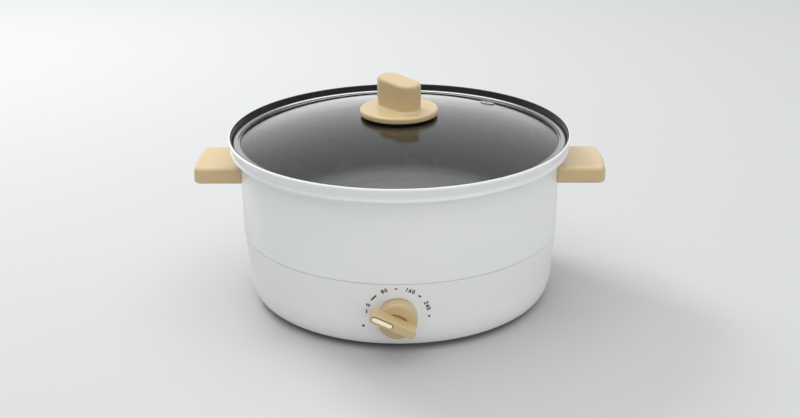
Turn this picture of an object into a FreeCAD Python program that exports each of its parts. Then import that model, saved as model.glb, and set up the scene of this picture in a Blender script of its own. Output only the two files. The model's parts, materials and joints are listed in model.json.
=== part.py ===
# Electric hot pot with a lift-off glass lid, in millimetres.
# The origin is on the pot's axis in the plane that the feet stand on. +Z is up, the dial faces -Y,
# the handles point along -X and +X, and the mains inlet faces +Y.
import FreeCAD, Part

import math
import os
import re

import Sketcher
from FreeCAD import Placement, Rotation, Vector

# ---------------------------------------------------------------- driving dimensions

SIZES = {
    # heights, stacked from the table up
    "skirt_gap": 5.0,          # table to the skirt's lower edge
    "base_height": 58.5,       # skirt's lower edge to its upper edge
    "seam_gap": 0.6,           # thickness of the seal between base and pot
    "floor_drop": 10.1,        # pot's seat down to its cooking floor
    "pot_depth": 94.7,         # cooking floor to the top of the rim
    # pot
    "shell_radius": 140.4,
    "rim_out": 9.6,             # pot's wall to the rim's edge
    "shell_wall": 3.0,
    "floor_wall": 3.5,
    "belly_round": 13.0,       # outer rounding between wall and floor
    "belly_inner_round": 16.0,
    "seat_ledge": 2.2,         # step over which the wall stands on the base
    "flare_height": 17.2,      # top of the rim down to where the flare starts
    "shoulder_out": 7.6,       # first, flatter stretch of the flare: outwards
    "shoulder_rise": 6.2,      # and upwards
    "flare_wall": 2.2,
    "crease_round": 2.0,
    "crease_inner_round": 4.0,
    "shoulder_round": 5.0,
    "shoulder_inner_round": 4.0,
    "lip_width": 2.4,
    "lip_height": 1.6,
    "lip_round": 0.7,
    # base
    "base_top_inset": 0.3,      # pot's wall to the skirt, from the top down, and heights over
    "base_bend_inset": 2.5,     # the skirt's lower edge
    "base_bend_height": 31.0,
    "base_bend_round": 60.0,
    "base_waist_inset": 3.0,
    "base_waist_height": 18.0,
    "base_waist_round": 40.0,
    "base_turn_inset": 4.8,
    "base_turn_height": 7.5,
    "base_turn_round": 20.0,
    "base_turn_inner_round": 10.0,
    "base_edge_inset": 8.9,
    "base_edge_round": 6.0,
    "base_top_round": 0.5,
    "base_wall": 2.5,
    "base_lip_clearance": 0.3,
    "cover_margin": 5.0,        # skirt's lower edge to the opening that the cover closes
    "cover_clearance": 0.3,
    "cover_thickness": 2.8,
    "cover_inset": 0.2,         # cover's underside over the skirt's edge
    "seal_inset": 0.9,          # pot's wall to the seal's outer edge
    "ledge_width": 4.0,
    "ledge_thickness": 2.0,
    "vent_count": 12,
    "vent_length": 22.0,
    "vent_width": 4.0,
    "vent_circle": 62.0,        # inner end of the slots
    # feet, pillars, shield
    "pillar_inset": 40.4,       # pot's wall to the pillars' axes
    "pillar_radius": 4.5,
    "pillar_bore_spare": 1.0,   # bore's depth past the screw's end
    "pillar_neck_radius": 3.5,
    "shield_height": 18.0,      # underside, over the table
    "shield_thickness": 0.8,
    "shield_margin": 8.0,       # pillars' circle to the shield's edge
    "push_nut_thickness": 1.2,
    "push_nut_width": 3.2,
    "foot_radius": 11.0,
    "foot_flare": 1.0,
    "foot_round": 1.2,
    "head_recess": 3.4,         # depth of the screw's hole in the foot
    "cover_head_radius": 4.0,
    "cover_head_height": 2.2,
    "cover_screw_radius": 2.0,
    "cover_screw_length": 18.0,
    "fit": 0.05,                # radial play of screws and pressed pieces
    "play": 0.3,                # loose play
    "overrun": 1.0,             # how far a cutting tool reaches past the face that it opens
    "soft_edge": 0.6,
    "fine_edge": 0.3,
    # heater
    "plate_inset": 60.4,        # pot's wall to the heater plate, room for the thermostat
    "plate_thickness": 5.5,
    "element_inset": 16.0,      # plate's edge to the middle of the element
    "element_radius": 3.3,
    "element_gap_angle": 40.0,
    "element_bend": 8.0,
    "element_tail": 5.0,
    "insulator_height": 3.0,
    "terminal_radius": 1.3,
    "terminal_length": 8.0,
    # dial and thermostat
    "dial_height": 34.3,
    "dial_seat_inset": 2.2,     # pot's wall to the flat that the dial faces
    "dial_seat_margin": 0.6,    # flat's edge past the dial's edge
    "dial_seat_depth": 4.8,
    "dial_gap": 0.5,
    "dial_radius": 16.2,
    "dial_depth": 10.5,         # seat to the dial's face
    "dial_face_round": 3.0,
    "dial_wall": 3.2,
    "dial_skin": 2.1,           # under the dish
    "dish_depth": 2.4,
    "dish_radius": 11.5,
    "dish_offset": 5.0,
    "bar_width": 8.0,
    "bar_height": 12.0,         # over the dial's face
    "bar_overhang_depth": 1.4,  # how far the pointer reaches back behind the face
    "pointer_length": 24.0,
    "tail_length": 15.6,
    "bar_end_round": 3.4,
    "bar_edge_round": 1.0,
    "window_length": 18.7,
    "window_width": 4.8,
    "window_border": 1.5,
    "window_depth": 2.2,
    "window_inset": 0.3,
    "light_stem_radius": 1.5,
    "light_stem_offset": 10.0,
    "hub_radius": 5.5,
    "clip_thickness": 0.6,
    "clip_height": 2.6,
    "clip_mouth": 2.0,
    "shaft_radius": 3.0,
    "shaft_flat": 2.2,          # axis to the flat of the D end
    "shaft_grip": 8.4,          # seat to the shaft's outer end
    "shaft_hole_radius": 4.0,
    "dial_rest_angle": 154.5,   # pointer, counter-clockwise from +X seen from the front
    "shaft_inset": 12.0,        # bracket's back face to the shaft's inner end
    "bracket_setback": 12.0,    # seat to the bracket's front face
    "bracket_thickness": 1.5,
    "bracket_width": 32.0,
    "bracket_drop": 17.3,       # shaft's axis to the bracket's lower edge
    "thermostat_width": 28.0,
    "thermostat_depth": 24.0,
    "thermostat_above": 12.0,
    "thermostat_below": 8.0,
    "neck_radius": 5.0,
    "neck_length": 7.0,
    "neck_nut_width": 14.0,     # across flats
    "neck_nut_thickness": 3.0,
    "tab_width": 6.3,
    "tab_thickness": 0.8,
    "tab_length": 8.0,
    "tab_spread": 8.0,
    "lamp_drop": 12.0,
    "lamp_radius": 3.5,
    "lamp_length": 16.0,
    "lamp_round": 2.4,
    "lamp_setback": 5.4,        # seat to the lamp's front
    "light_hole_radius": 2.5,
    "stud_radius": 2.5,
    "stud_length": 8.0,
    "stud_margin": 8.2,         # thermostat's back to the bracket's stud
    "stud_edge": 8.5,           # stud to the bracket's inner edge
    "earth_margin": 10.0,       # heater plate to the earth stud
    "tag_reach": 9.0,           # earth stud to the lead's place on its tag
    "tag_radius": 4.4,
    "tag_thickness": 0.8,
    "stud_nut_width": 8.0,
    "stud_nut_thickness": 3.2,
    # bulb and fuse under the heater plate
    "bulb_radius": 2.5,
    "bulb_length": 52.0,
    "bulb_offset": 22.0,
    "fuse_radius": 2.2,
    "fuse_length": 14.0,
    "fuse_offset": 20.0,
    "fuse_shift": 23.0,
    "strap_thickness": 0.8,
    "strap_width": 8.0,
    "strap_tab": 7.0,
    "strap_bend": 1.8,
    "strap_screw_radius": 1.5,
    "strap_head_radius": 2.8,
    "strap_head_height": 1.6,
    "strap_screw_length": 4.0,
    "capillary_radius": 1.0,
    "lead_radius": 1.3,
    "lead_rise": 8.0,           # heat shield to the leads that cross over it
    "clip_drop": 5.6,           # insulator to the lead pushed onto the terminal
    "lamp_lead_radius": 0.7,
    # inlet
    "inlet_height": 36.0,
    "inlet_inset": 3.4,         # pot's wall to the inlet's face
    "socket_width": 24.0,
    "socket_height": 16.5,
    "socket_depth": 17.5,
    "inlet_wall": 2.2,
    "inlet_back": 4.5,
    "inlet_post_radius": 3.9,
    "inlet_post_length": 4.5,
    "flange_width": 47.0,
    "flange_thickness": 3.0,
    "flange_setback": 5.5,
    "flange_screw_spread": 39.0,
    "pin_thickness": 2.0,
    "pin_width": 4.0,
    "pin_spread": 14.0,
    "pin_drop": 1.0,
    "earth_rise": 3.0,
    "pin_inset": 2.5,
    "pin_tail": 8.0,
    "inlet_screw_radius": 1.6,
    "inlet_screw_length": 6.5,
    "inlet_head_radius": 2.9,
    "inlet_head_height": 1.8,
    # handles
    "handle_drop": 24.9,        # rim's top to the handle's top
    "handle_thickness": 15.1,
    "handle_width": 61.0,
    "handle_length": 40.8,      # pot's wall to the handle's end
    "handle_root": 12.0,        # how far the slab starts inside the pot's wall
    "handle_crown": 2.0,        # how far the end bows out
    "handle_corner": 6.5,
    "handle_top_round": 5.0,
    "handle_bottom_round": 2.5,
    "lug_root": 1.5,            # how deep the lug starts in the pot's wall
    "lug_length": 14.0,
    "lug_width": 30.0,
    "lug_thickness": 6.0,
    "handle_screw_out": 7.5,    # pot's wall to the screws
    "handle_screw_spread": 16.0,
    "handle_screw_radius": 2.0,
    "handle_screw_length": 7.5,
    "handle_head_radius": 3.8,
    "handle_head_height": 2.0,
    # lid
    "lid_drop": 4.7,            # rim's top to the lid's outer bead
    "bead_radius": 1.5,
    "lid_clearance": 0.42,
    "lid_rise": 19.5,           # bead's top to the top of the glass
    "glass_rise": 21.1,         # edge of the glass to its top
    "glass_thickness": 4.0,
    "glass_play": 0.9,
    "rim_sheet": 0.8,
    "rim_bed": 0.1,             # glue line between glass and steel
    "rim_reach": 2.4,           # how far the steel covers the glass
    "rim_step": 0.2,            # how far the fold leans over the glass's edge
    "bead_edge_round": 1.3,
    "knob_bore": 3.5,
    "vent_radius": 107.3,
    "vent_angle": 41.0,
    "eyelet_radius": 6.5,
    "eyelet_back_radius": 5.5,
    "eyelet_bore": 3.0,
    "eyelet_tube": 4.0,
    "eyelet_sheet": 0.8,
    # knob
    "knob_radius": 34.5,
    "knob_rise": 0.5,           # top of the glass to the knob's flange
    "knob_flange": 5.2,
    "knob_flange_round": 2.2,
    "grip_length": 45.4,
    "grip_width": 23.4,
    "grip_height": 32.2,        # flange's underside to the high end of the grip
    "grip_slope": 3.0,          # how much lower the low end is
    "grip_edge_round": 3.4,
    "grip_foot_round": 2.4,
    "knob_under_round": 1.1,
    "grip_turn": -47.0,
    "gasket_radius": 31.0,
    "gasket_bore": 20.0,
    "inner_seal_radius": 9.0,
    "inner_seal_thickness": 1.5,
    "knob_washer_radius": 8.0,
    "knob_washer_thickness": 1.0,
    "knob_screw_radius": 2.5,
    "knob_screw_length": 20.0,
    "knob_bore_spare": 1.0,     # bore's depth past the screw's end
    "gasket_clearance": 0.2,
    "knob_head_radius": 4.8,
    "knob_head_height": 3.2,
}

# Places that follow from the sizes, as formulas of the sheet's cells.
PLACES = {
    "rim_radius": "shell_radius + rim_out",
    "base_top_radius": "shell_radius - base_top_inset",
    "base_bend_radius": "shell_radius - base_bend_inset",
    "base_waist_radius": "shell_radius - base_waist_inset",
    "base_turn_radius": "shell_radius - base_turn_inset",
    "base_edge_radius": "shell_radius - base_edge_inset",
    "dial_seat": "shell_radius - dial_seat_inset",
    "inlet_face": "shell_radius - inlet_inset",
    "seam_z": "skirt_gap + base_height",
    "seat_z": "seam_z + seam_gap",
    "floor_z": "seat_z - floor_drop",
    "rim_z": "floor_z + pot_depth",
    "under_z": "floor_z - floor_wall",
    "seat_radius": "shell_radius - seat_ledge",
    "inner_radius": "shell_radius - shell_wall",
    "crease_z": "rim_z - flare_height",
    "shoulder_radius": "shell_radius + shoulder_out",
    "shoulder_z": "crease_z + shoulder_rise",
    "inner_lip": "rim_radius - lip_width",
    "inner_shoulder": "shoulder_radius - flare_wall",
    "inner_slope": "(inner_lip - inner_shoulder) / (rim_z - shoulder_z)",
    "cover_z": "skirt_gap + cover_inset",
    "ledge_z": "cover_z + cover_thickness",
    "ledge_top": "ledge_z + ledge_thickness",
    "seal_inner": "seat_radius + base_lip_clearance",
    "opening_radius": "base_edge_radius - cover_margin",
    "cover_radius": "opening_radius - cover_clearance",
    "pillar_circle": "shell_radius - pillar_inset",
    "shield_radius": "pillar_circle + shield_margin",
    "shield_top": "shield_height + shield_thickness",
    "plate_radius": "shell_radius - plate_inset",
    "plate_z": "under_z - plate_thickness",
    "element_circle": "plate_radius - element_inset",
    "earth_stud": "plate_radius + earth_margin",
    "terminal_z": "plate_z - element_bend - element_tail",
    "lead_level": "shield_top + lead_rise",
    "lead_middle": "(shield_top + plate_z) / 2",
    "lead_lane": "(plate_radius + pillar_circle - pillar_radius) / 2",
    "bracket_front": "dial_seat - bracket_setback",
    "bracket_back": "bracket_front - bracket_thickness",
    "thermostat_rear": "bracket_back - thermostat_depth",
    "bracket_stud": "thermostat_rear - stud_margin",
    "bracket_reach": "bracket_stud - stud_edge",
    "flange_z": "under_z - bracket_thickness",
    "lamp_z": "dial_height - lamp_drop",
    "inlet_body_width": "socket_width + 2 * inlet_wall",
    "inlet_body_height": "socket_height + 2 * inlet_wall",
    "inlet_rear": "inlet_face - socket_depth - inlet_back",
    "flange_front": "inlet_face - flange_setback",
    "flange_back": "flange_front - flange_thickness",
    "handle_top": "rim_z - handle_drop",
    "handle_bottom": "handle_top - handle_thickness",
    "handle_mid": "handle_top - handle_thickness / 2",
    "handle_end": "shell_radius + handle_length",
    "bead_z": "rim_z - lid_drop - bead_radius",
    "seat_line": "inner_shoulder + (bead_z - shoulder_z) * inner_slope",
    "bead_circle": "seat_line - (bead_radius + lid_clearance) * sqrt(1 + inner_slope ^ 2)",
    "glass_radius": "bead_circle - bead_radius - glass_play",
    "apex_z": "rim_z - lid_drop + lid_rise",
    "dome_radius": "(glass_radius ^ 2 + glass_rise ^ 2) / (2 * glass_rise)",
    "dome_z": "apex_z - dome_radius",
    "rim_inner": "glass_radius - rim_reach",
    "knob_z": "apex_z + knob_rise",
    "glass_under": "apex_z - glass_thickness",
    "seal_under": "glass_under - inner_seal_thickness",
    "washer_under": "seal_under - knob_washer_thickness",
    "dish_floor": "dial_depth - dish_depth",
    "bar_top": "dial_depth + bar_height",
    "hub_top": "dish_floor - dial_skin",
    "window_end": "pointer_length - window_border",
}

DOCUMENT = FreeCAD.newDocument("hot_pot")
SHEET = DOCUMENT.addObject("Spreadsheet::Sheet", "Sizes")
NODES = []
SLIVER = 1e-4  # lengths and volumes under this count as nothing
HEAD_ROUND = 0.4  # share of a screw head's height that its rounding takes
ARC_SHARE = 0.45  # share of the shorter run that a tube's arc takes
PILLARS, FIRST_PILLAR = 4, 45  # how many, and the first one's angle


def fill_sheet():
    for row, (name, size) in enumerate(SIZES.items(), start=1):
        SHEET.set(f"A{row}", name)
        SHEET.set(f"B{row}", str(size))
        SHEET.setAlias(f"B{row}", name)
    DOCUMENT.recompute()


# ---------------------------------------------------------------- formulas and places


def formula(text):
    """The text with each place written out and each size named as its cell."""

    def written_out(word):
        if word.group(0) in PLACES:
            return "(" + formula(PLACES[word.group(0)]) + ")"
        if word.group(0) in SIZES:
            return "Sizes." + word.group(0)
        return word.group(0)

    return re.sub(r"[a-z][a-z_0-9]*", written_out, text)


def number(text):
    result = SHEET.evalExpression(formula(text))
    return float(getattr(result, "Value", result))


def spot(x, y, z):
    return Vector(number(x), number(y), number(z))


def bind(item, name, text):
    item.setExpression(name, formula(text))


def place(item, x="0", y="0", z="0", rotation=None):
    item.Placement = Placement(spot(x, y, z), rotation or Rotation())
    bind(item, ".Placement.Base.x", x)
    bind(item, ".Placement.Base.y", y)
    bind(item, ".Placement.Base.z", z)
    return item


def node(item, label):
    """Marks an object as a finished sub-part of this name."""
    item.Label = label
    NODES.append(item)
    return item


# Local +Z turned to face the front (-Y) and the back (+Y).
TO_FRONT = Rotation(Vector(1, 0, 0), 90)
TO_BACK = Rotation(Vector(1, 0, 0), -90)

INLET_SCREWS = ("flange_screw_spread / 2", "-flange_screw_spread / 2")

# ---------------------------------------------------------------- sketches


def new_body(name):
    return DOCUMENT.addObject("PartDesign::Body", name)


def new_sketch(body, role, height="0"):
    """A sketch on one of the body's own origin planes, lifted by height along the plane's normal."""
    sketch = body.newObject("Sketcher::SketchObject", body.Name + "_sketch")
    planes = [plane for plane in body.Origin.OriginFeatures if plane.Role == role]
    sketch.AttachmentSupport = [(planes[0], "")]
    sketch.MapMode = "FlatFace"
    bind(sketch, ".AttachmentOffset.Base.z", height)
    return sketch


def pin_point(sketch, geometry, position, x, y):
    """Fixes a point at the formulas x and y."""
    for kind, text, axis in (("DistanceX", x, -2), ("DistanceY", y, -1)):
        if text == "0":
            sketch.addConstraint(Sketcher.Constraint("PointOnObject", geometry, position, axis))
        else:
            index = sketch.addConstraint(Sketcher.Constraint(kind, geometry, position, number(text)))
            bind(sketch, f"Constraints[{index}]", text)


def set_radius(sketch, geometry, text):
    index = sketch.addConstraint(Sketcher.Constraint("Radius", geometry, number(text)))
    bind(sketch, f"Constraints[{index}]", text)


def draw_circle(sketch, x, y, radius):
    shape = Part.Circle(Vector(number(x), number(y), 0), Vector(0, 0, 1), number(radius))
    circle = sketch.addGeometry(shape, False)
    pin_point(sketch, circle, 3, x, y)
    set_radius(sketch, circle, radius)


def corner_arc(before, point, after, radius):
    """Centre and tangent points of the arc that rounds a corner, and whether it turns left."""
    back = (before - point).normalize()
    ahead = (after - point).normalize()
    half = back.getAngle(ahead) / 2
    cut = radius / math.tan(half)
    centre = point + (back + ahead).normalize() * (radius / math.sin(half))
    return centre, point + back * cut, point + ahead * cut, back.cross(ahead).z < 0


def draw_outline(sketch, corners):
    """A closed outline. Each corner is (x, y), or (x, y, radius) where it is rounded."""
    points = [Vector(number(corner[0]), number(corner[1]), 0) for corner in corners]
    count = len(corners)
    arcs = {}
    for index, corner in enumerate(corners):
        if len(corner) == 3:
            neighbours = points[index - 1], points[index], points[(index + 1) % count]
            arcs[index] = corner_arc(*neighbours, number(corner[2]))
    lines = []
    for index in range(count):
        after = (index + 1) % count
        start = arcs[index][2] if index in arcs else points[index]
        end = arcs[after][1] if after in arcs else points[after]
        lines.append(sketch.addGeometry(Part.LineSegment(start, end), False))
    for index, corner in enumerate(corners):
        before, after = lines[index - 1], lines[index]
        if index in arcs:
            round_corner(sketch, before, after, points[index], arcs[index], corner)
        else:
            sketch.addConstraint(Sketcher.Constraint("Coincident", before, 2, after, 1))
            pin_point(sketch, after, 1, corner[0], corner[1])


def round_corner(sketch, before, after, point, arc, corner):
    """Adds one corner's arc, tangent to its two lines, whose own corner stays as a fixed point."""
    centre, arrive, leave, turns_left = arc
    first, last = (arrive, leave) if turns_left else (leave, arrive)
    start = math.atan2(first.y - centre.y, first.x - centre.x)
    sweep = (math.atan2(last.y - centre.y, last.x - centre.x) - start) % (2 * math.pi)
    circle = Part.Circle(centre, Vector(0, 0, 1), number(corner[2]))
    curve = sketch.addGeometry(Part.ArcOfCircle(circle, start, start + sweep), False)
    near, far = (1, 2) if turns_left else (2, 1)
    sketch.addConstraint(Sketcher.Constraint("Tangent", before, 2, curve, near))
    sketch.addConstraint(Sketcher.Constraint("Tangent", after, 1, curve, far))
    set_radius(sketch, curve, corner[2])
    tip = sketch.addGeometry(Part.Point(point), True)
    pin_point(sketch, tip, 1, corner[0], corner[1])
    sketch.addConstraint(Sketcher.Constraint("PointOnObject", tip, 1, before))
    sketch.addConstraint(Sketcher.Constraint("PointOnObject", tip, 1, after))


def draw_stadium(sketch, start, end, y, radius):
    """Two half circles joined by straight sides, along the sketch's x axis."""
    low, high, middle, half = number(start), number(end), number(y), number(radius)
    up = Vector(0, 0, 1)
    left = Part.Circle(Vector(low, middle, 0), up, half)
    right = Part.Circle(Vector(high, middle, 0), up, half)
    quarter = math.pi / 2
    cap_left = sketch.addGeometry(Part.ArcOfCircle(left, quarter, 3 * quarter), False)
    cap_right = sketch.addGeometry(Part.ArcOfCircle(right, -quarter, quarter), False)
    side = Part.LineSegment(Vector(low, middle - half, 0), Vector(high, middle - half, 0))
    bottom = sketch.addGeometry(side, False)
    side = Part.LineSegment(Vector(high, middle + half, 0), Vector(low, middle + half, 0))
    top = sketch.addGeometry(side, False)
    for first, end_a, second, end_b in (
        (cap_left, 2, bottom, 1),
        (bottom, 2, cap_right, 1),
        (cap_right, 2, top, 1),
        (top, 2, cap_left, 1),
    ):
        sketch.addConstraint(Sketcher.Constraint("Tangent", first, end_a, second, end_b))
    pin_point(sketch, cap_left, 3, start, y)
    index = sketch.addConstraint(Sketcher.Constraint("DistanceX", cap_right, 3, high))
    bind(sketch, f"Constraints[{index}]", end)
    set_radius(sketch, cap_left, radius)
    sketch.addConstraint(Sketcher.Constraint("Horizontal", bottom))


# ---------------------------------------------------------------- features


def revolve(body, sketch, cut=False):
    kind = "PartDesign::Groove" if cut else "PartDesign::Revolution"
    feature = body.newObject(kind, body.Name + "_turn")
    feature.Profile = sketch
    feature.ReferenceAxis = (sketch, ["V_Axis"])
    feature.Angle = 360
    return feature


def turned(name, corners):
    """A body turned about its own Z axis from an outline of (radius, height) corners."""
    body = new_body(name)
    sketch = new_sketch(body, "XZ_Plane")
    draw_outline(sketch, corners)
    revolve(body, sketch)
    return body


def pad(body, sketch, length, both_ways=False):
    feature = body.newObject("PartDesign::Pad", body.Name + "_pad")
    feature.Profile = sketch
    feature.SideType = "Symmetric" if both_ways else "One side"
    bind(feature, "Length", length)
    return feature


def pocket(body, sketch, depth, both_ways=False):
    """Cuts along the sketch's own normal, or by half the depth to each side."""
    DOCUMENT.recompute()
    before = body.Shape.Volume
    feature = body.newObject("PartDesign::Pocket", body.Name + "_pocket")
    feature.Profile = sketch
    feature.SideType = "Symmetric" if both_ways else "One side"
    feature.Reversed = not both_ways
    bind(feature, "Length", depth)
    DOCUMENT.recompute()
    if body.Shape.Volume >= before:
        raise ValueError(f"{feature.Name} cuts nothing")
    return feature


def round_edges(body, radius, chosen):
    """Fillets the edges that the test picks."""
    DOCUMENT.recompute()
    tip = body.Tip
    edges = [f"Edge{i}" for i, edge in enumerate(tip.Shape.Edges, start=1) if chosen(edge)]
    if not edges:
        raise ValueError(f"{body.Name} has no such edges")
    feature = body.newObject("PartDesign::Fillet", body.Name + "_round")
    feature.Base = (tip, edges)
    bind(feature, "Radius", radius)
    DOCUMENT.recompute()
    return feature


def box(name, low, size):
    item = DOCUMENT.addObject("Part::Box", name)
    for side, text in zip(("Length", "Width", "Height"), size):
        bind(item, side, text)
    return place(item, *low)


def cylinder(name, radius, height, low, rotation=None):
    return place(cylinder_at(name, radius, height, Placement()), *low, rotation)


def cylinder_at(name, radius, height, placement):
    item = DOCUMENT.addObject("Part::Cylinder", name)
    bind(item, "Radius", radius)
    bind(item, "Height", height)
    item.Placement = placement
    return item


def fuse(name, items):
    item = DOCUMENT.addObject("Part::MultiFuse", name)
    item.Shapes = items
    return item


def cut(name, base, tools, bites=True):
    """The base less all the tools. Where each has to bite, it raises if one misses the base."""
    item = DOCUMENT.addObject("Part::Cut", name)
    item.Base = base
    item.Tool = tools[0] if len(tools) == 1 else fuse(name + "_tools", tools)
    DOCUMENT.recompute()
    for tool in tools:
        if bites and base.Shape.common(tool.Shape).Volume < SLIVER:
            raise ValueError(f"{tool.Name} misses {base.Name}")
    return item


def copies(name, original, placements):
    """A group of linked copies of one solid, each at its own place."""
    links = []
    for placement in placements:
        link = DOCUMENT.addObject("App::Link", name + "_copy")
        link.LinkedObject = original
        link.Placement = placement
        links.append(link)
    group = DOCUMENT.addObject("Part::Compound", name)
    group.Links = links
    return group


def around_pillars(z):
    """Placements on the four pillars' axes, at a height."""
    result = []
    for index in range(PILLARS):
        angle = math.radians(FIRST_PILLAR + 360 * index / PILLARS)
        spot_on_circle = Vector(math.cos(angle), math.sin(angle), 0) * number("pillar_circle")
        result.append(Placement(spot_on_circle + spot("0", "0", z), Rotation()))
    return result


def pillar_spot():
    """The first pillar's x and y as formulas, for a sketch."""
    return tuple(f"pillar_circle * {name}({FIRST_PILLAR})" for name in ("cos", "sin"))


def screw(name, head_radius, head_height, radius, length):
    """A pan-head screw, head downwards: its shoulder is at z 0 and its shank points up."""
    return turned(
        name,
        [
            ("0", f"-({head_height})"),
            (head_radius, f"-({head_height})", f"{HEAD_ROUND} * ({head_height})"),
            (head_radius, "0"),
            (radius, "0"),
            (radius, length),
            ("0", length),
        ],
    )


def hex_nut(name, width, thickness, bore):
    """A nut standing on z 0, with its flats along X."""
    body = new_body(name)
    sketch = new_sketch(body, "XY_Plane")
    half, point = f"({width}) / 2", f"({width}) / sqrt(3)"
    draw_outline(
        sketch,
        [
            (f"{point} / 2", half),
            (f"-({point}) / 2", half),
            (f"-({point})", "0"),
            (f"-({point}) / 2", f"-({half})"),
            (f"{point} / 2", f"-({half})"),
            (point, "0"),
        ],
    )
    draw_circle(sketch, "0", "0", bore)
    pad(body, sketch, thickness)
    return body


def tube_along(name, radius, points):
    """A round tube along straight runs joined by tangent arcs, each as large as its runs allow."""
    stops = [spot(*point) for point in points]
    edges = []
    start = stops[0]
    for before, point, after in zip(stops, stops[1:], stops[2:]):
        back, ahead = before - point, after - point
        shorter = min(back.Length, ahead.Length)
        cut_back = ARC_SHARE * shorter
        arrive = point + back.normalize() * cut_back
        leave = point + ahead.normalize() * cut_back
        half = back.getAngle(ahead) / 2
        bisector = (back + ahead).normalize()
        bend = cut_back * math.tan(half)
        middle = point + bisector * (math.hypot(cut_back, bend) - bend)
        edges.append(Part.LineSegment(start, arrive).toShape())
        edges.append(Part.Arc(arrive, middle, leave).toShape())
        start = leave
    edges.append(Part.LineSegment(start, stops[-1]).toShape())
    return sweep_along(name, radius, edges)


def sweep_along(name, radius, edges):
    spine = Part.Wire(edges)
    direction = edges[0].tangentAt(edges[0].FirstParameter)
    ring = Part.Wire([Part.makeCircle(number(radius), edges[0].Vertexes[0].Point, direction)])
    item = DOCUMENT.addObject("Part::Feature", name)
    item.Shape = spine.makePipeShell([ring], True, False)
    full = math.pi * number(radius) ** 2 * spine.Length
    if abs(item.Shape.Volume / full - 1) > 0.02:
        raise ValueError(f"{name} is not swept along its whole length")
    return item


# ---------------------------------------------------------------- the pot


def make_pot():
    """Die-cast aluminium pot: floor, rounded belly, straight wall, flared rim, two handle lugs."""
    shell = turned(
        "pot_shell",
        [
            ("0", "under_z"),
            ("seat_radius", "under_z", "belly_round"),
            ("seat_radius", "seat_z"),
            ("shell_radius", "seat_z"),
            ("shell_radius", "crease_z", "crease_round"),
            ("shoulder_radius", "shoulder_z", "shoulder_round"),
            ("rim_radius", "rim_z - lip_height"),
            ("rim_radius", "rim_z", "lip_round"),
            ("inner_lip", "rim_z", "lip_round"),
            ("inner_shoulder", "shoulder_z", "shoulder_inner_round"),
            ("inner_radius", "crease_z", "crease_inner_round"),
            ("inner_radius", "floor_z", "belly_inner_round"),
            ("0", "floor_z"),
        ],
    )
    size = ("lug_length + lug_root", "lug_width", "lug_thickness")
    low_y, low_z = "-lug_width / 2", "handle_mid - lug_thickness / 2"
    right = box("lug_right", ("shell_radius - lug_root", low_y, low_z), size)
    left = box("lug_left", ("-shell_radius - lug_length", low_y, low_z), size)
    whole = fuse("pot_casting", [shell, right, left])
    holes = []
    for x, y in handle_screw_places():
        low = (x, y, f"{low_z} - overrun")
        holes.append(cylinder("lug_hole", "handle_screw_radius + fit", "lug_thickness + 2 * overrun", low))
    return node(cut("pot_casting_cut", whole, holes), "pot_body")


def handle_screw_places():
    out = "(shell_radius + handle_screw_out)"
    side = "handle_screw_spread / 2"
    return [(out, side), (out, f"-{side}"), (f"-{out}", side), (f"-{out}", f"-{side}")]


def make_handle(name, side):
    """One side handle: a rounded slab, hollowed over the pot's lug and screwed to it from below."""
    body = new_body(name + "_slab")
    sketch = new_sketch(body, "XY_Plane")
    half = "handle_width / 2"
    root = "(shell_radius - handle_root)"
    corner = "(handle_end - handle_crown)"
    outline = [
        (root, f"-{half}"),
        (corner, f"-{half}", "handle_corner"),
        ("handle_end", "0", "handle_width"),
        (corner, half, "handle_corner"),
        (root, half),
    ]
    draw_outline(sketch, outline)
    pad(body, sketch, "handle_thickness")
    wall = new_sketch(body, "XY_Plane")
    draw_circle(wall, "0", "0", "shell_radius + play")
    pocket(body, wall, "handle_thickness")
    wall_radius = number("shell_radius + play")

    def free_edge_at(edge, level):
        middle = edge.valueAt((edge.FirstParameter + edge.LastParameter) / 2)
        return on_level(edge, level) and abs(math.hypot(middle.x, middle.y) - wall_radius) > SLIVER

    thickness = number("handle_thickness")
    round_edges(body, "handle_top_round", lambda edge: free_edge_at(edge, thickness))
    round_edges(body, "handle_bottom_round", lambda edge: free_edge_at(edge, 0))
    place(body, "0", "0", "handle_bottom", Rotation(Vector(0, 0, 1), 0 if side > 0 else 180))
    sign = "" if side > 0 else "-"
    low_x = "shell_radius - overrun" if side > 0 else "-(shell_radius + lug_length + play)"
    size = ("lug_length + play + overrun", "lug_width + 2 * play", "lug_thickness + 2 * play")
    low = (low_x, "-lug_width / 2 - play", "handle_mid - lug_thickness / 2 - play")
    tools = [box(name + "_socket", low, size)]
    for y in ("handle_screw_spread / 2", "-handle_screw_spread / 2"):
        low = (f"{sign}(shell_radius + handle_screw_out)", y, "handle_bottom")
        tools.append(cylinder("handle_sink", "handle_head_radius + play", "handle_head_height + fit", low))
        length = "handle_head_height + handle_screw_length"
        tools.append(cylinder("handle_hole", "handle_screw_radius + play", length, low))
    return node(cut(name + "_cut", body, tools), name)


def on_level(edge, level):
    return all(abs(vertex.Z - level) < SLIVER for vertex in edge.Vertexes)


def make_handle_screws():
    original = screw("handle_screw", "handle_head_radius", "handle_head_height",
                     "handle_screw_radius", "handle_screw_length")
    z = number("handle_bottom + handle_head_height")
    spots = [Placement(Vector(number(x), number(y), z), Rotation())
             for x, y in handle_screw_places()]
    return node(copies("handle_screw_group", original, spots), "handle_screws")


# ---------------------------------------------------------------- the base


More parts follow.
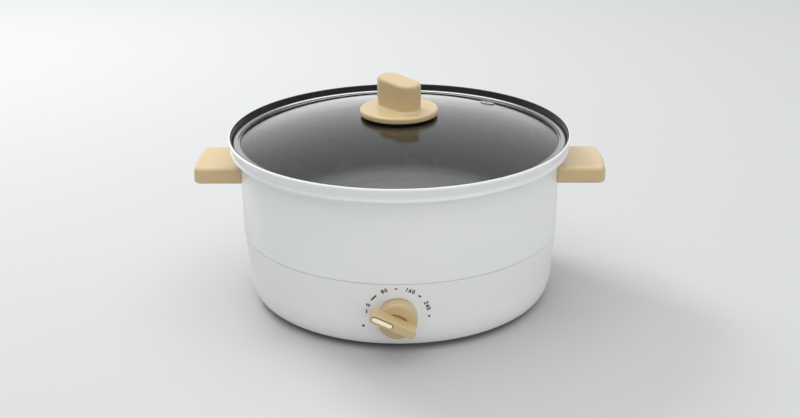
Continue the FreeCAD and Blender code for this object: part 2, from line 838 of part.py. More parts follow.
def make_housing():
    """White skirt: a drafted ring with a ledge for the bottom cover, a dial seat and inlet posts."""
    bend_z = "skirt_gap + base_bend_height"
    turn_z = "skirt_gap + base_turn_height"
    ring = turned(
        "skirt_ring",
        [
            ("opening_radius", "skirt_gap"),
            ("base_edge_radius", "skirt_gap", "base_edge_round"),
            ("base_turn_radius", turn_z, "base_turn_round"),
            ("base_waist_radius", "skirt_gap + base_waist_height", "base_waist_round"),
            ("base_bend_radius", bend_z, "base_bend_round"),
            ("base_top_radius", "seam_z", "base_top_round"),
            ("seal_inner", "seam_z"),
            ("base_bend_radius - base_wall", bend_z, "base_bend_round"),
            ("base_turn_radius - base_wall", turn_z, "base_turn_inner_round"),
            ("base_edge_radius", "ledge_top"),
            ("opening_radius - ledge_width", "ledge_top"),
            ("opening_radius - ledge_width", "ledge_z"),
            ("opening_radius", "ledge_z"),
        ],
    )
    outside = cylinder("seat_clearing", "dial_radius + dial_seat_margin", "dial_depth",
                       ("0", "-dial_seat", "dial_height"), TO_FRONT)
    flattened = cut("skirt_flattened", ring, [outside], bites=False)
    seat_back = "-dial_seat + dial_seat_depth"
    seat = cylinder("dial_seat_boss", "dial_radius + dial_seat_margin", "dial_seat_depth",
                    ("0", seat_back, "dial_height"), TO_FRONT)
    posts = []
    for x in INLET_SCREWS:
        post = cylinder("inlet_post", "inlet_post_radius", "inlet_post_length",
                        (x, "flange_front", "inlet_height"), TO_BACK)
        posts.append(post)
    whole = fuse("skirt_casting", [flattened, seat, *posts])
    start, through = f"{seat_back} + overrun", "dial_seat_depth + 2 * overrun"
    room = "inlet_body_height + 2 * play"
    tools = [
        cylinder("shaft_hole", "shaft_hole_radius", through, ("0", start, "dial_height"), TO_FRONT),
        cylinder("light_hole", "light_hole_radius", through, ("0", start, "lamp_z"), TO_FRONT),
        box("inlet_window",
            ("-inlet_body_width / 2 - play", "flange_front", f"inlet_height - ({room}) / 2"),
            ("inlet_body_width + 2 * play", "base_top_radius - flange_front + overrun", room)),
    ]
    for x in INLET_SCREWS:
        hole = cylinder("inlet_post_hole", "inlet_screw_radius + fit",
                        "inlet_screw_length - flange_thickness + play",
                        (x, "flange_front", "inlet_height"), TO_BACK)
        tools.append(hole)
    return node(cut("skirt_cut", whole, tools), "base_housing")


def make_seam_seal():
    seal = turned(
        "seam_seal",
        [
            ("seal_inner", "seam_z"),
            ("shell_radius - seal_inset", "seam_z"),
            ("shell_radius - seal_inset", "seat_z"),
            ("seal_inner", "seat_z"),
        ],
    )
    return node(seal, "seam_seal")


def make_cover():
    """Bottom cover with slots that let the heater's space breathe, and four screw holes."""
    body = turned(
        "bottom_cover",
        [
            ("0", "cover_z"),
            ("cover_radius", "cover_z", "soft_edge"),
            ("cover_radius", "ledge_z"),
            ("0", "ledge_z"),
        ],
    )
    slot = new_sketch(body, "XY_Plane", "cover_z")
    draw_stadium(slot, "vent_circle", "vent_circle + vent_length", "0", "vent_width / 2")
    opening = pocket(body, slot, "cover_thickness")
    repeat_around(body, opening, slot, "vent_count")
    screws = new_sketch(body, "XY_Plane", "cover_z")
    across, along = pillar_spot()
    draw_circle(screws, across, along, "cover_screw_radius + play")
    hole = pocket(body, screws, "cover_thickness")
    repeat_around(body, hole, screws, str(PILLARS))
    return node(body, "bottom_cover")


def repeat_around(body, feature, sketch, count):
    pattern = body.newObject("PartDesign::PolarPattern", body.Name + "_ring")
    pattern.Originals = [feature]
    pattern.Axis = (sketch, ["N_Axis"])
    pattern.Angle = 360
    bind(pattern, "Occurrences", count)
    body.Tip = pattern
    DOCUMENT.recompute()


def make_foot(name, index):
    """Rubber foot, held by the cover's screw through its middle."""
    body = turned(
        name,
        [
            ("cover_head_radius + 2 * play", "0"),
            ("foot_radius", "0", "foot_round"),
            ("foot_radius + foot_flare", "cover_z"),
            ("cover_screw_radius + play", "cover_z"),
            ("cover_screw_radius + play", "head_recess"),
            ("cover_head_radius + 2 * play", "head_recess"),
        ],
    )
    body.Placement = around_pillars("0")[index]
    return node(body, name)


def make_cover_screws():
    original = screw("cover_screw", "cover_head_radius", "cover_head_height",
                     "cover_screw_radius", "cover_screw_length")
    spots = around_pillars("head_recess")
    return node(copies("cover_screw_group", original, spots), "cover_screws")


def make_pillars():
    """Steel pillars that carry the bottom cover and the heat shield under the pot's floor."""
    bore = "cover_screw_radius + fit"
    bore_top = "head_recess + cover_screw_length + pillar_bore_spare"
    pillar = turned(
        "pillar",
        [
            (bore, "ledge_z"),
            ("pillar_neck_radius", "ledge_z"),
            ("pillar_neck_radius", "shield_top"),
            ("pillar_radius", "shield_top"),
            ("pillar_radius", "under_z"),
            ("0", "under_z"),
            ("0", bore_top),
            (bore, bore_top),
        ],
    )
    spots = around_pillars("0")
    return node(copies("pillar_group", pillar, spots), "support_pillars")


def make_shield():
    body = turned(
        "heat_shield",
        [
            ("0", "shield_height"),
            ("shield_radius", "shield_height"),
            ("shield_radius", "shield_top"),
            ("0", "shield_top"),
        ],
    )
    sketch = new_sketch(body, "XY_Plane", "shield_height")
    across, along = pillar_spot()
    draw_circle(sketch, across, along, "pillar_neck_radius + fit * 2")
    hole = pocket(body, sketch, "shield_thickness")
    repeat_around(body, hole, sketch, str(PILLARS))
    return node(body, "heat_shield")


def make_push_nuts():
    inner = "pillar_neck_radius + fit"
    nut = turned(
        "push_nut",
        [
            (inner, "shield_height - push_nut_thickness"),
            (f"{inner} + push_nut_width", "shield_height - push_nut_thickness"),
            (f"{inner} + push_nut_width", "shield_height"),
            (inner, "shield_height"),
        ],
    )
    spots = around_pillars("0")
    return node(copies("push_nut_group", nut, spots), "shield_push_nuts")


# ---------------------------------------------------------------- heater


def element_ends():
    """The two ends of the element's ring as (point, direction in which the tube leaves it)."""
    result = []
    half = number("element_gap_angle") / 2
    for sign in (1, -1):
        angle = math.radians(90 - sign * half)
        point = Vector(math.cos(angle), math.sin(angle), 0) * number("element_circle")
        point.z = number("plate_z")
        result.append((point, Vector(-math.sin(angle), math.cos(angle), 0) * sign))
    return result


def terminal_spots():
    bend = number("element_bend")
    return [Vector(point.x, point.y, number("terminal_z")) + away * bend
            for point, away in element_ends()]


def make_heater_plate():
    """Aluminium plate under the pot's floor, grooved for the element and tapped for the straps."""
    body = turned(
        "plate_disc",
        [
            ("0", "plate_z"),
            ("plate_radius", "plate_z", "soft_edge"),
            ("plate_radius", "under_z"),
            ("0", "under_z"),
        ],
    )
    groove = DOCUMENT.addObject("Part::Torus", "element_groove")
    bind(groove, "Radius1", "element_circle")
    bind(groove, "Radius2", "element_radius + fit")
    place(groove, "0", "0", "plate_z")
    tools = [groove]
    for point, away in element_ends():
        room = Placement(point, Rotation(Vector(0, 0, 1), away))
        tools.append(cylinder_at("bend_room", "element_radius + fit", "element_bend + play", room))
    for x, y in strap_screw_places():
        low = (x, y, "plate_z")
        tools.append(cylinder("strap_hole", "strap_screw_radius + fit", "strap_screw_length", low))
    return node(cut("plate_cut", body, tools), "heater_plate")


def make_element():
    """Sheathed heating element: an open ring under the plate whose two ends bend down."""
    (start, start_away), (end, end_away) = element_ends()
    bend, tail = number("element_bend"), number("element_tail")
    down = Vector(0, 0, -1)

    def tail_edges(point, away):
        half_turn = math.sqrt(0.5) * bend
        middle = point + away * half_turn + down * (bend - half_turn)
        low = point + away * bend + down * bend
        return [Part.Arc(point, middle, low).toShape(),
                Part.LineSegment(low, low + down * tail).toShape()]

    circle = Part.Circle(Vector(0, 0, number("plate_z")), Vector(0, 0, 1), number("element_circle"))
    half = number("element_gap_angle") / 2
    ring = Part.ArcOfCircle(circle, math.radians(90 + half), math.radians(450 - half)).toShape()
    edges = Part.sortEdges([ring, *tail_edges(start, start_away), *tail_edges(end, end_away)])[0]
    return node(sweep_along("element", "element_radius", edges), "heating_element")


def make_terminals():
    insulator = turned(
        "insulator",
        [
            ("terminal_radius + fit", "-insulator_height"),
            ("element_radius", "-insulator_height", "soft_edge"),
            ("element_radius", "0"),
            ("terminal_radius + fit", "0"),
        ],
    )
    pin = turned(
        "terminal_pin",
        [("0", "-terminal_length"), ("terminal_radius", "-terminal_length"),
         ("terminal_radius", "0"), ("0", "0")],
    )
    spots = [Placement(point, Rotation()) for point in terminal_spots()]
    node(copies("insulator_group", insulator, spots), "heater_insulators")
    node(copies("terminal_group", pin, spots), "heater_terminals")


def strap_screw_places():
    """Screw centres of the bulb's strap and the fuse's strap, two each."""
    bulb_y, fuse_y, x = "-bulb_offset", "fuse_offset", "-fuse_shift"
    reach = "strap_tab / 2 + strap_thickness"
    places = []
    for sign in ("+", "-"):
        places.append(("0", f"{bulb_y} {sign} (bulb_radius + {reach})"))
        places.append((x, f"{fuse_y} {sign} (fuse_radius + {reach})"))
    return places


def make_strap(name, tube_radius, x, y):
    """Hat-shaped steel strap that holds a round body along X against the plate's underside."""
    body = new_body(name)
    sketch = new_sketch(body, "YZ_Plane")
    inner = f"({tube_radius} + fit)"
    outer = f"({tube_radius} + fit + strap_thickness)"
    wing = f"({outer} + strap_tab)"
    deep = f"(2 * {tube_radius} + 2 * fit)"
    draw_outline(
        sketch,
        [
            (f"-{wing}", "0"),
            (f"-{wing}", "-strap_thickness"),
            (f"-{outer}", "-strap_thickness"),
            (f"-{outer}", f"-{deep} - strap_thickness", "strap_bend + strap_thickness"),
            (outer, f"-{deep} - strap_thickness", "strap_bend + strap_thickness"),
            (outer, "-strap_thickness"),
            (wing, "-strap_thickness"),
            (wing, "0"),
            (inner, "0"),
            (inner, f"-{deep}", "strap_bend"),
            (f"-{inner}", f"-{deep}", "strap_bend"),
            (f"-{inner}", "0"),
        ],
    )
    pad(body, sketch, "strap_width", both_ways=True)
    holes = new_sketch(body, "XY_Plane", "-strap_thickness")
    reach = f"({tube_radius} + strap_tab / 2 + strap_thickness)"
    draw_circle(holes, "0", reach, "strap_screw_radius + fit")
    draw_circle(holes, "0", f"-{reach}", "strap_screw_radius + fit")
    pocket(body, holes, "strap_thickness")
    place(body, x, y, "plate_z")
    return node(body, name)


def make_strap_screws():
    original = screw("strap_screw", "strap_head_radius", "strap_head_height",
                     "strap_screw_radius", "strap_screw_length")
    z = number("plate_z - strap_thickness")
    spots = [Placement(Vector(number(x), number(y), z), Rotation())
             for x, y in strap_screw_places()]
    return node(copies("strap_screw_group", original, spots), "strap_screws")


def make_rod(name, radius, length, x, y):
    """A round body along X that lies against the plate's underside."""
    body = turned(
        name,
        [("0", "0"), (radius, "0", "soft_edge"), (radius, length, "soft_edge"), ("0", length)],
    )
    place(body, f"{x} - ({length}) / 2", y, f"plate_z - ({radius}) - fit",
          Rotation(Vector(0, 1, 0), 90))
    return node(body, name)


# ---------------------------------------------------------------- thermostat


def make_bracket():
    """Angle bracket: its flange hangs from the pot's floor, its plate holds thermostat and lamp."""
    low_z = "dial_height - bracket_drop"
    plate = box("bracket_plate", ("-bracket_width / 2", "-bracket_front", low_z),
                ("bracket_width", "bracket_thickness", f"under_z - ({low_z})"))
    flange = box("bracket_flange", ("-bracket_width / 2", "-bracket_front", "flange_z"),
                 ("bracket_width", "bracket_front - bracket_reach", "bracket_thickness"))
    whole = fuse("bracket_blank", [plate, flange])
    start, through = "-bracket_back + overrun", "bracket_thickness + 2 * overrun"
    tools = [
        cylinder("neck_hole", "neck_radius + fit", through, ("0", start, "dial_height"), TO_FRONT),
        cylinder("lamp_hole", "lamp_radius + fit", through, ("0", start, "lamp_z"), TO_FRONT),
        cylinder("stud_hole", "stud_radius + play", through,
                 ("0", "-bracket_stud", "flange_z - overrun")),
    ]
    return node(cut("bracket_cut", whole, tools), "thermostat_bracket")


def make_thermostat():
    """Thermostat's body with its threaded neck, bored for the turning shaft."""
    case = box(
        "thermostat_case",
        ("-thermostat_width / 2", "-bracket_back", "dial_height - thermostat_below"),
        ("thermostat_width", "thermostat_depth", "thermostat_above + thermostat_below"),
    )
    neck = cylinder("thermostat_neck", "neck_radius", "neck_length + overrun",
                    ("0", "-bracket_back + overrun", "dial_height"), TO_FRONT)
    whole = fuse("thermostat_blank", [case, neck])
    bore = cylinder("shaft_bore", "shaft_radius + fit", "shaft_inset + neck_length + 2 * overrun",
                    ("0", "-bracket_back + shaft_inset + play", "dial_height"), TO_FRONT)
    return node(cut("thermostat_cut", whole, [bore]), "thermostat_body")


def make_neck_nut():
    nut = hex_nut("thermostat_nut", "neck_nut_width", "neck_nut_thickness", "neck_radius + fit")
    place(nut, "0", "-bracket_front", "dial_height", TO_FRONT)
    return node(nut, "thermostat_nut")


def make_thermostat_tabs():
    tab = box("thermostat_tab", ("0", "0", "0"), ("tab_width", "tab_length", "tab_thickness"))
    y = number("-thermostat_rear")
    z = number("dial_height + thermostat_above / 2")
    half = number("tab_width") / 2
    spots = [Placement(Vector(side * number("tab_spread") - half, y, z), Rotation())
             for side in (1, -1)]
    return node(copies("thermostat_tab_group", tab, spots), "thermostat_tabs")


def make_shaft():
    """Thermostat's turning shaft, with a flat at the end that the dial grips."""
    inner_end = "bracket_back - shaft_inset - dial_seat"
    body = turned(
        "shaft_rod",
        [
            ("0", inner_end),
            ("shaft_radius", inner_end),
            ("shaft_radius", "shaft_grip", "soft_edge"),
            ("0", "shaft_grip"),
        ],
    )
    sketch = new_sketch(body, "XY_Plane", "dial_gap")
    draw_outline(
        sketch,
        [
            ("shaft_flat", "-shaft_radius - overrun"),
            ("shaft_radius + overrun", "-shaft_radius - overrun"),
            ("shaft_radius + overrun", "shaft_radius + overrun"),
            ("shaft_flat", "shaft_radius + overrun"),
        ],
    )
    pocket(body, sketch, "shaft_grip")
    dial_place(body)
    return node(body, "thermostat_shaft")


def dial_place(item):
    """Local +Z out of the front, local +X along the pointer as it rests."""
    turn = Rotation(Vector(0, -1, 0), number("dial_rest_angle"))
    return place(item, "0", "-dial_seat", "dial_height", turn.multiply(TO_FRONT))


def make_lamp():
    body = turned(
        "lamp",
        [
            ("0", "-lamp_length"),
            ("lamp_radius", "-lamp_length", "soft_edge"),
            ("lamp_radius", "0", "lamp_round"),
            ("0", "0"),
        ],
    )
    place(body, "0", "-dial_seat + lamp_setback", "lamp_z", TO_FRONT)
    return node(body, "indicator_lamp")


def make_studs():
    """Studs welded under the pot's floor: one for the bracket, one for the earth lead's tag."""
    stud = cylinder("stud", "stud_radius", "stud_length", ("0", "0", "0"))
    z = "under_z - stud_length"
    places = [spot("0", "-bracket_stud", z), spot("0", "earth_stud", z)]
    node(copies("stud_group", stud, [Placement(point, Rotation()) for point in places]), "weld_studs")
    nut = hex_nut("stud_nut", "stud_nut_width", "stud_nut_thickness", "stud_radius + fit")
    places = [spot("0", "-bracket_stud", "flange_z - stud_nut_thickness"),
              spot("0", "earth_stud", "under_z - tag_thickness - stud_nut_thickness")]
    node(copies("stud_nut_group", nut, [Placement(point, Rotation()) for point in places]), "stud_nuts")


def make_earth_tag():
    """Flat ring tag under the earth nut, whose tab takes the lead from below."""
    body = new_body("earth_tag")
    sketch = new_sketch(body, "XY_Plane")
    draw_stadium(sketch, "0", "tag_reach", "0", "tag_radius")
    draw_circle(sketch, "0", "0", "stud_radius + play")
    pad(body, sketch, "tag_thickness")
    place(body, "0", "earth_stud", "under_z - tag_thickness", Rotation(Vector(0, 0, 1), 90))
    return node(body, "earth_tag")


# ---------------------------------------------------------------- dial


def make_dial():
    """Moulded dial: a disc with a raised grip bar that overhangs it as a pointer."""
    body = turned(
        "dial",
        [
            ("dial_radius - dial_wall", "dial_gap"),
            ("dial_radius", "dial_gap"),
            ("dial_radius", "dial_depth", "dial_face_round"),
            ("0", "dial_depth"),
            ("0", "hub_top"),
            ("dial_radius - dial_wall", "hub_top"),
        ],
    )
    hub = new_sketch(body, "XY_Plane", "dial_gap")
    draw_circle(hub, "0", "0", "hub_radius")
    pad(body, hub, "hub_top - dial_gap")
    dish = new_sketch(body, "XY_Plane", "dish_floor")
    draw_lens(dish, "dish_radius", "dish_offset")
    pocket(body, dish, "dish_depth * 2")
    rib = new_sketch(body, "XY_Plane", "dish_floor")
    draw_outline(rib, rectangle("-dish_radius", "dish_radius", "bar_width"))
    pad(body, rib, "dish_depth + bar_height / 2")
    bar = new_sketch(body, "XY_Plane", "dial_depth - bar_overhang_depth")
    ends = "bar_end_round"
    draw_outline(bar, rectangle("-tail_length", "pointer_length", "bar_width", ends))
    pad(body, bar, "bar_height + bar_overhang_depth")
    top = number("bar_top")
    round_edges(body, "bar_edge_round",
                lambda edge: on_level(edge, top))
    window = new_sketch(body, "XY_Plane", "bar_top - window_depth")
    draw_window(window, "0")
    pocket(body, window, "window_depth * 2")
    stem = new_sketch(body, "XY_Plane", "hub_top")
    draw_circle(stem, "light_stem_offset", "0", "light_stem_radius + fit * 2")
    pocket(body, stem, "bar_top")
    bore = new_sketch(body, "XY_Plane", "dial_gap")
    draw_d_shape(bore, "fit")
    pocket(body, bore, "shaft_grip - dial_gap + fit")
    dial_place(body)
    return node(body, "dial")


def rectangle(low_x, high_x, width, radius=None):
    """Corners of a rectangle about the x axis, rounded where a radius is given."""
    half = f"({width}) / 2"
    rounded = (radius,) if radius else ()
    return [
        (low_x, f"-{half}") + rounded,
        (high_x, f"-{half}") + rounded,
        (high_x, half) + rounded,
        (low_x, half) + rounded,
    ]


def draw_lens(sketch, radius, offset):
    """Two arcs whose centres lie to either side of the x axis, meeting in two points on it."""
    size, shift = number(radius), number(offset)
    reach = math.sqrt(size * size - shift * shift)
    start = math.atan2(shift, reach)
    up = Vector(0, 0, 1)
    upper = Part.ArcOfCircle(Part.Circle(Vector(0, -shift, 0), up, size), start, math.pi - start)
    lower = Part.ArcOfCircle(Part.Circle(Vector(0, shift, 0), up, size), math.pi + start, -start)
    arcs = [sketch.addGeometry(upper, False), sketch.addGeometry(lower, False)]
    for arc, text in zip(arcs, (f"-({offset})", offset)):
        pin_point(sketch, arc, 3, "0", text)
        set_radius(sketch, arc, radius)
    sketch.addConstraint(Sketcher.Constraint("Coincident", arcs[0], 1, arcs[1], 2))
    sketch.addConstraint(Sketcher.Constraint("Coincident", arcs[0], 2, arcs[1], 1))


def draw_window(sketch, play):
    half = f"(window_width / 2 - {play})"
    start = "window_end - window_length + window_width / 2"
    draw_stadium(sketch, start, "window_end - window_width / 2", "0", half)


def draw_d_shape(sketch, play):
    """Section of the shaft's flattened end, grown all round by the play."""
    size, flat = number(f"shaft_radius + {play}"), number(f"shaft_flat + {play}")
    half = math.sqrt(size * size - flat * flat)
    start = math.atan2(half, flat)
    circle = Part.Circle(Vector(0, 0, 0), Vector(0, 0, 1), size)
    arc = sketch.addGeometry(Part.ArcOfCircle(circle, start, 2 * math.pi - start), False)
    line = sketch.addGeometry(Part.LineSegment(Vector(flat, -half, 0), Vector(flat, half, 0)), False)
    pin_point(sketch, arc, 3, "0", "0")
    set_radius(sketch, arc, f"shaft_radius + {play}")
    sketch.addConstraint(Sketcher.Constraint("Coincident", arc, 2, line, 1))
    sketch.addConstraint(Sketcher.Constraint("Coincident", arc, 1, line, 2))
    sketch.addConstraint(Sketcher.Constraint("Vertical", line))
    index = sketch.addConstraint(Sketcher.Constraint("DistanceX", line, 1, flat))
    bind(sketch, f"Constraints[{index}]", f"shaft_flat + {play}")


def make_window():
    """Translucent window with a stem that carries the lamp's light through the bar."""
    body = new_body("dial_window")
    face = new_sketch(body, "XY_Plane", "bar_top - window_depth")
    draw_window(face, "fit")
    pad(body, face, "window_depth - window_inset")
    stem = new_sketch(body, "XY_Plane", "hub_top")
    draw_circle(stem, "light_stem_offset", "0", "light_stem_radius")
    pad(body, stem, "bar_top - window_depth / 2 - (hub_top)")
    dial_place(body)
    return node(body, "dial_window")


def make_dial_clip():
    """Spring ring that squeezes the dial's hub onto the shaft."""
    inner = "hub_radius + fit"
    body = turned(
        "dial_clip",
        [
            (inner, "dial_gap + fit"),
            (f"{inner} + clip_thickness", "dial_gap + fit"),
            (f"{inner} + clip_thickness", "dial_gap + fit + clip_height"),
            (inner, "dial_gap + fit + clip_height"),
        ],
    )
    mouth = new_sketch(body, "XY_Plane", "dial_gap")
    far = f"-({inner} + clip_thickness + overrun)"
    draw_outline(mouth, [(far, "-clip_mouth / 2"), ("-hub_radius / 2", "-clip_mouth / 2"),
                         ("-hub_radius / 2", "clip_mouth / 2"), (far, "clip_mouth / 2")])
    pocket(body, mouth, "clip_height + overrun")
    dial_place(body)
    return node(body, "dial_clip")


# ---------------------------------------------------------------- mains inlet


def make_inlet():
    """Inlet body: a rectangular socket whose flange is screwed to the skirt from inside."""
    half_w, half_h = "inlet_body_width / 2", "inlet_body_height / 2"
    case = box("inlet_case", (f"-{half_w}", "inlet_rear", f"inlet_height - {half_h}"),
               ("inlet_body_width", "inlet_face - inlet_rear", "inlet_body_height"))
    flange = box("inlet_flange", ("-flange_width / 2", "flange_back", f"inlet_height - {half_h}"),
                 ("flange_width", "flange_thickness", "inlet_body_height"))
    whole = fuse("inlet_blank", [case, flange])
    socket = box("inlet_socket",
                 ("-socket_width / 2", "inlet_face - socket_depth", "inlet_height - socket_height / 2"),
                 ("socket_width", "socket_depth + overrun", "socket_height"))
    tools = [socket]
    for x, z in pin_places():
        low = (f"{x} - pin_thickness / 2 - fit", "inlet_rear - overrun", f"{z} - pin_width / 2 - fit")
        size = ("pin_thickness + 2 * fit", "inlet_back + 2 * overrun", "pin_width + 2 * fit")
        tools.append(box("pin_slot", low, size))
    for x in INLET_SCREWS:
        tools.append(cylinder("flange_hole", "inlet_screw_radius + play", "flange_thickness + 2 * overrun",
                              (x, "flange_back - overrun", "inlet_height"), TO_BACK))
    return node(cut("inlet_cut", whole, tools), "power_inlet")


def pin_places():
    """(x, z) centres of the live, neutral and earth pins."""
    low, high = "inlet_height - pin_drop", "inlet_height + earth_rise"
    return [("pin_spread / 2", low), ("-pin_spread / 2", low), ("0", high)]


def make_pins():
    pins = []
    for x, z in pin_places():
        low = (f"{x} - pin_thickness / 2", "inlet_rear - pin_tail", f"{z} - pin_width / 2")
        size = ("pin_thickness", "inlet_face - pin_inset - inlet_rear + pin_tail", "pin_width")
        pins.append(box("inlet_pin", low, size))
    group = DOCUMENT.addObject("Part::Compound", "inlet_pin_group")
    group.Links = pins
    return node(group, "inlet_pins")


def make_inlet_screws():
    original = screw("inlet_screw", "inlet_head_radius", "inlet_head_height",
                     "inlet_screw_radius", "inlet_screw_length")
    spots = [Placement(spot(x, "flange_back", "inlet_height"), TO_BACK) for x in INLET_SCREWS]
    return node(copies("inlet_screw_group", original, spots), "inlet_screws")


# ---------------------------------------------------------------- leads


def make_leads():
    """Insulated leads between inlet, thermostat, fuse, heater and earth, and the capillary tube."""
    pin_end = "inlet_rear - pin_tail - fit"
    live_x = "pin_spread / 2"
    low_pin, high_pin = "inlet_height - pin_drop", "inlet_height + earth_rise"
    tab_end, tab_z = "-thermostat_rear + tab_length + fit", "dial_height + thermostat_above / 2"
    right, left = terminal_spots()
    clip_z = "terminal_z - clip_drop"
    clip_gap = "terminal_radius + fit"
    fuse_z = "plate_z - fuse_radius - fit"
    fuse_low = "-fuse_shift - fuse_length / 2 - fit"
    fuse_high = "-fuse_shift + fuse_length / 2 + fit"
    bulb_end, bulb_z = "bulb_length / 2 + fit", "plate_z - bulb_radius - fit"
    routes = {
        "lead_live": ("lead_radius", [
            (live_x, pin_end, low_pin),
            (live_x, f"{pin_end} - 11", low_pin),
            *[(f"lead_lane * cos({angle})", f"lead_lane * sin({angle})", "lead_level")
              for angle in (58, 20, -19, -55)],
            ("tab_spread", f"{tab_end} + 14", tab_z),
            ("tab_spread", tab_end, tab_z),
        ]),
        "lead_to_fuse": ("lead_radius", [
            ("-tab_spread", tab_end, tab_z),
            ("-tab_spread", f"{tab_end} + 13", tab_z),
            ("-40", "-56", "lead_level"),
            ("-60", "-16", "lead_level"),
            ("-56", "fuse_offset - 6", "lead_middle"),
            (f"{fuse_low} - 13", "fuse_offset", fuse_z),
            (fuse_low, "fuse_offset", fuse_z),
        ]),
        "lead_to_heater": ("lead_radius", [
            (fuse_high, "fuse_offset", fuse_z),
            (f"{fuse_high} + 9", "fuse_offset", fuse_z),
            (f"{fuse_high} + 8", "fuse_offset + 14", "lead_middle"),
            (f"{left.x}", f"{left.y} - 13", clip_z),
            (f"{left.x}", f"{left.y} - ({clip_gap})", clip_z),
        ]),
        "lead_neutral": ("lead_radius", [
            (f"-{live_x}", pin_end, low_pin),
            (f"-{live_x}", f"{pin_end} - 11", low_pin),
            (f"{right.x}", f"{right.y} + 14", clip_z),
            (f"{right.x}", f"{right.y} + {clip_gap}", clip_z),
        ]),
        "lead_earth": ("lead_radius", [
            ("0", pin_end, high_pin),
            ("0", "earth_stud + tag_reach", high_pin),
            ("0", "earth_stud + tag_reach", "under_z - tag_thickness - fit"),
        ]),
        "capillary_tube": ("capillary_radius", [
            (bulb_end, "-bulb_offset", bulb_z),
            (f"{bulb_end} + 9", "-bulb_offset", bulb_z),
            ("38", "-50", "lead_middle"),
            ("20", "-76", "lead_level + 2"),
            ("4", "-thermostat_rear + 12", "dial_height - 3"),
            ("4", "-thermostat_rear + fit", "dial_height - 3"),
        ]),
    }
    for name, (radius, points) in routes.items():
        node(tube_along(name + "_tube", radius, points), name)


def make_lamp_leads():
    """Two thin leads from the lamp's back up to the thermostat's rear."""
    start = "-dial_seat + lamp_setback + lamp_length + fit"
    rear = "-thermostat_rear"
    tubes = []
    for side in ("", "-"):
        x, far = f"{side}lamp_radius / 2", f"{side}thermostat_width / 3"
        points = [
            (x, start, "lamp_z"),
            (x, f"{start} + 8", "lamp_z"),
            (far, f"{rear} + 6", "lamp_z + 1"),
            (far, f"{rear} + 6", "dial_height + 1"),
            (far, f"{rear} + fit", "dial_height + 1"),
        ]
        tubes.append(tube_along("lamp_lead_tube", "lamp_lead_radius", points))
    group = DOCUMENT.addObject("Part::Compound", "lamp_lead_group")
    group.Links = tubes
    return node(group, "lamp_leads")


# ---------------------------------------------------------------- lid


def dome(radius, depth="0"):
    """Height of the glass at a radius, on its outer face or that far under it."""
    return f"(dome_z + sqrt((dome_radius - {depth}) ^ 2 - ({radius}) ^ 2))"


def make_glass():
    """Domed lid glass with holes for the knob's screw and for the steam eyelet."""
    body = new_body("glass_shell")
    sketch = new_sketch(body, "XZ_Plane")
    low, high = number("knob_bore"), number("glass_radius")
    middle = number("dome_z")
    curves = []
    for text in ("dome_radius", "dome_radius - glass_thickness"):
        size = number(text)
        circle = Part.Circle(Vector(0, middle, 0), Vector(0, 0, 1), size)
        curve = Part.ArcOfCircle(circle, math.acos(high / size), math.acos(low / size))
        index = sketch.addGeometry(curve, False)
        pin_point(sketch, index, 3, "0", "dome_z")
        set_radius(sketch, index, text)
        curves.append(index)
    for position, x in ((1, high), (2, low)):
        heights = [middle + math.sqrt(number(text) ** 2 - x * x)
                   for text in ("dome_radius", "dome_radius - glass_thickness")]
        side = Part.LineSegment(Vector(x, heights[0], 0), Vector(x, heights[1], 0))
        line = sketch.addGeometry(side, False)
        sketch.addConstraint(Sketcher.Constraint("Coincident", curves[0], position, line, 1))
        sketch.addConstraint(Sketcher.Constraint("Coincident", curves[1], position, line, 2))
        sketch.addConstraint(Sketcher.Constraint("Vertical", line))
        index = sketch.addConstraint(Sketcher.Constraint("DistanceX", line, 1, x))
        bind(sketch, f"Constraints[{index}]", "glass_radius" if position == 1 else "knob_bore")
    revolve(body, sketch)
    low = Placement(spot("0", "0", "-glass_thickness - overrun"), Rotation())
    hole = cylinder_at("eyelet_hole", "eyelet_tube + play", "glass_thickness + 2 * overrun",
                       eyelet_place().multiply(low))
    return node(cut("lid_glass_cut", body, [hole]), "lid_glass")


def eyelet_place():
    """On the glass's outer face, square to the dome."""
    lean = math.degrees(math.asin(number("vent_radius") / number("dome_radius")))
    spin = Rotation(Vector(0, 0, 1), number("vent_angle"))
    tilt = Rotation(Vector(0, 1, 0), lean)
    base = Placement(Vector(0, 0, 0), spin)
    out = Placement(spot("vent_radius", "0", dome("vent_radius")), tilt)
    return base.multiply(out)


def make_eyelet():
    """Steel grommet clenched through the glass: the steam's way out."""
    top = "eyelet_sheet + fit"
    low = "-glass_thickness - fit - eyelet_sheet"
    body = turned(
        "vent_eyelet",
        [
            ("eyelet_bore", low),
            ("eyelet_back_radius", low, "fine_edge"),
            ("eyelet_back_radius", "-glass_thickness - fit"),
            ("eyelet_tube", "-glass_thickness - fit"),
            ("eyelet_tube", "fit"),
            ("eyelet_radius", "fit"),
            ("eyelet_radius", top, "fine_edge"),
            ("eyelet_bore", top, "fine_edge"),
        ],
    )
    body.Placement = eyelet_place()
    return node(body, "vent_eyelet")


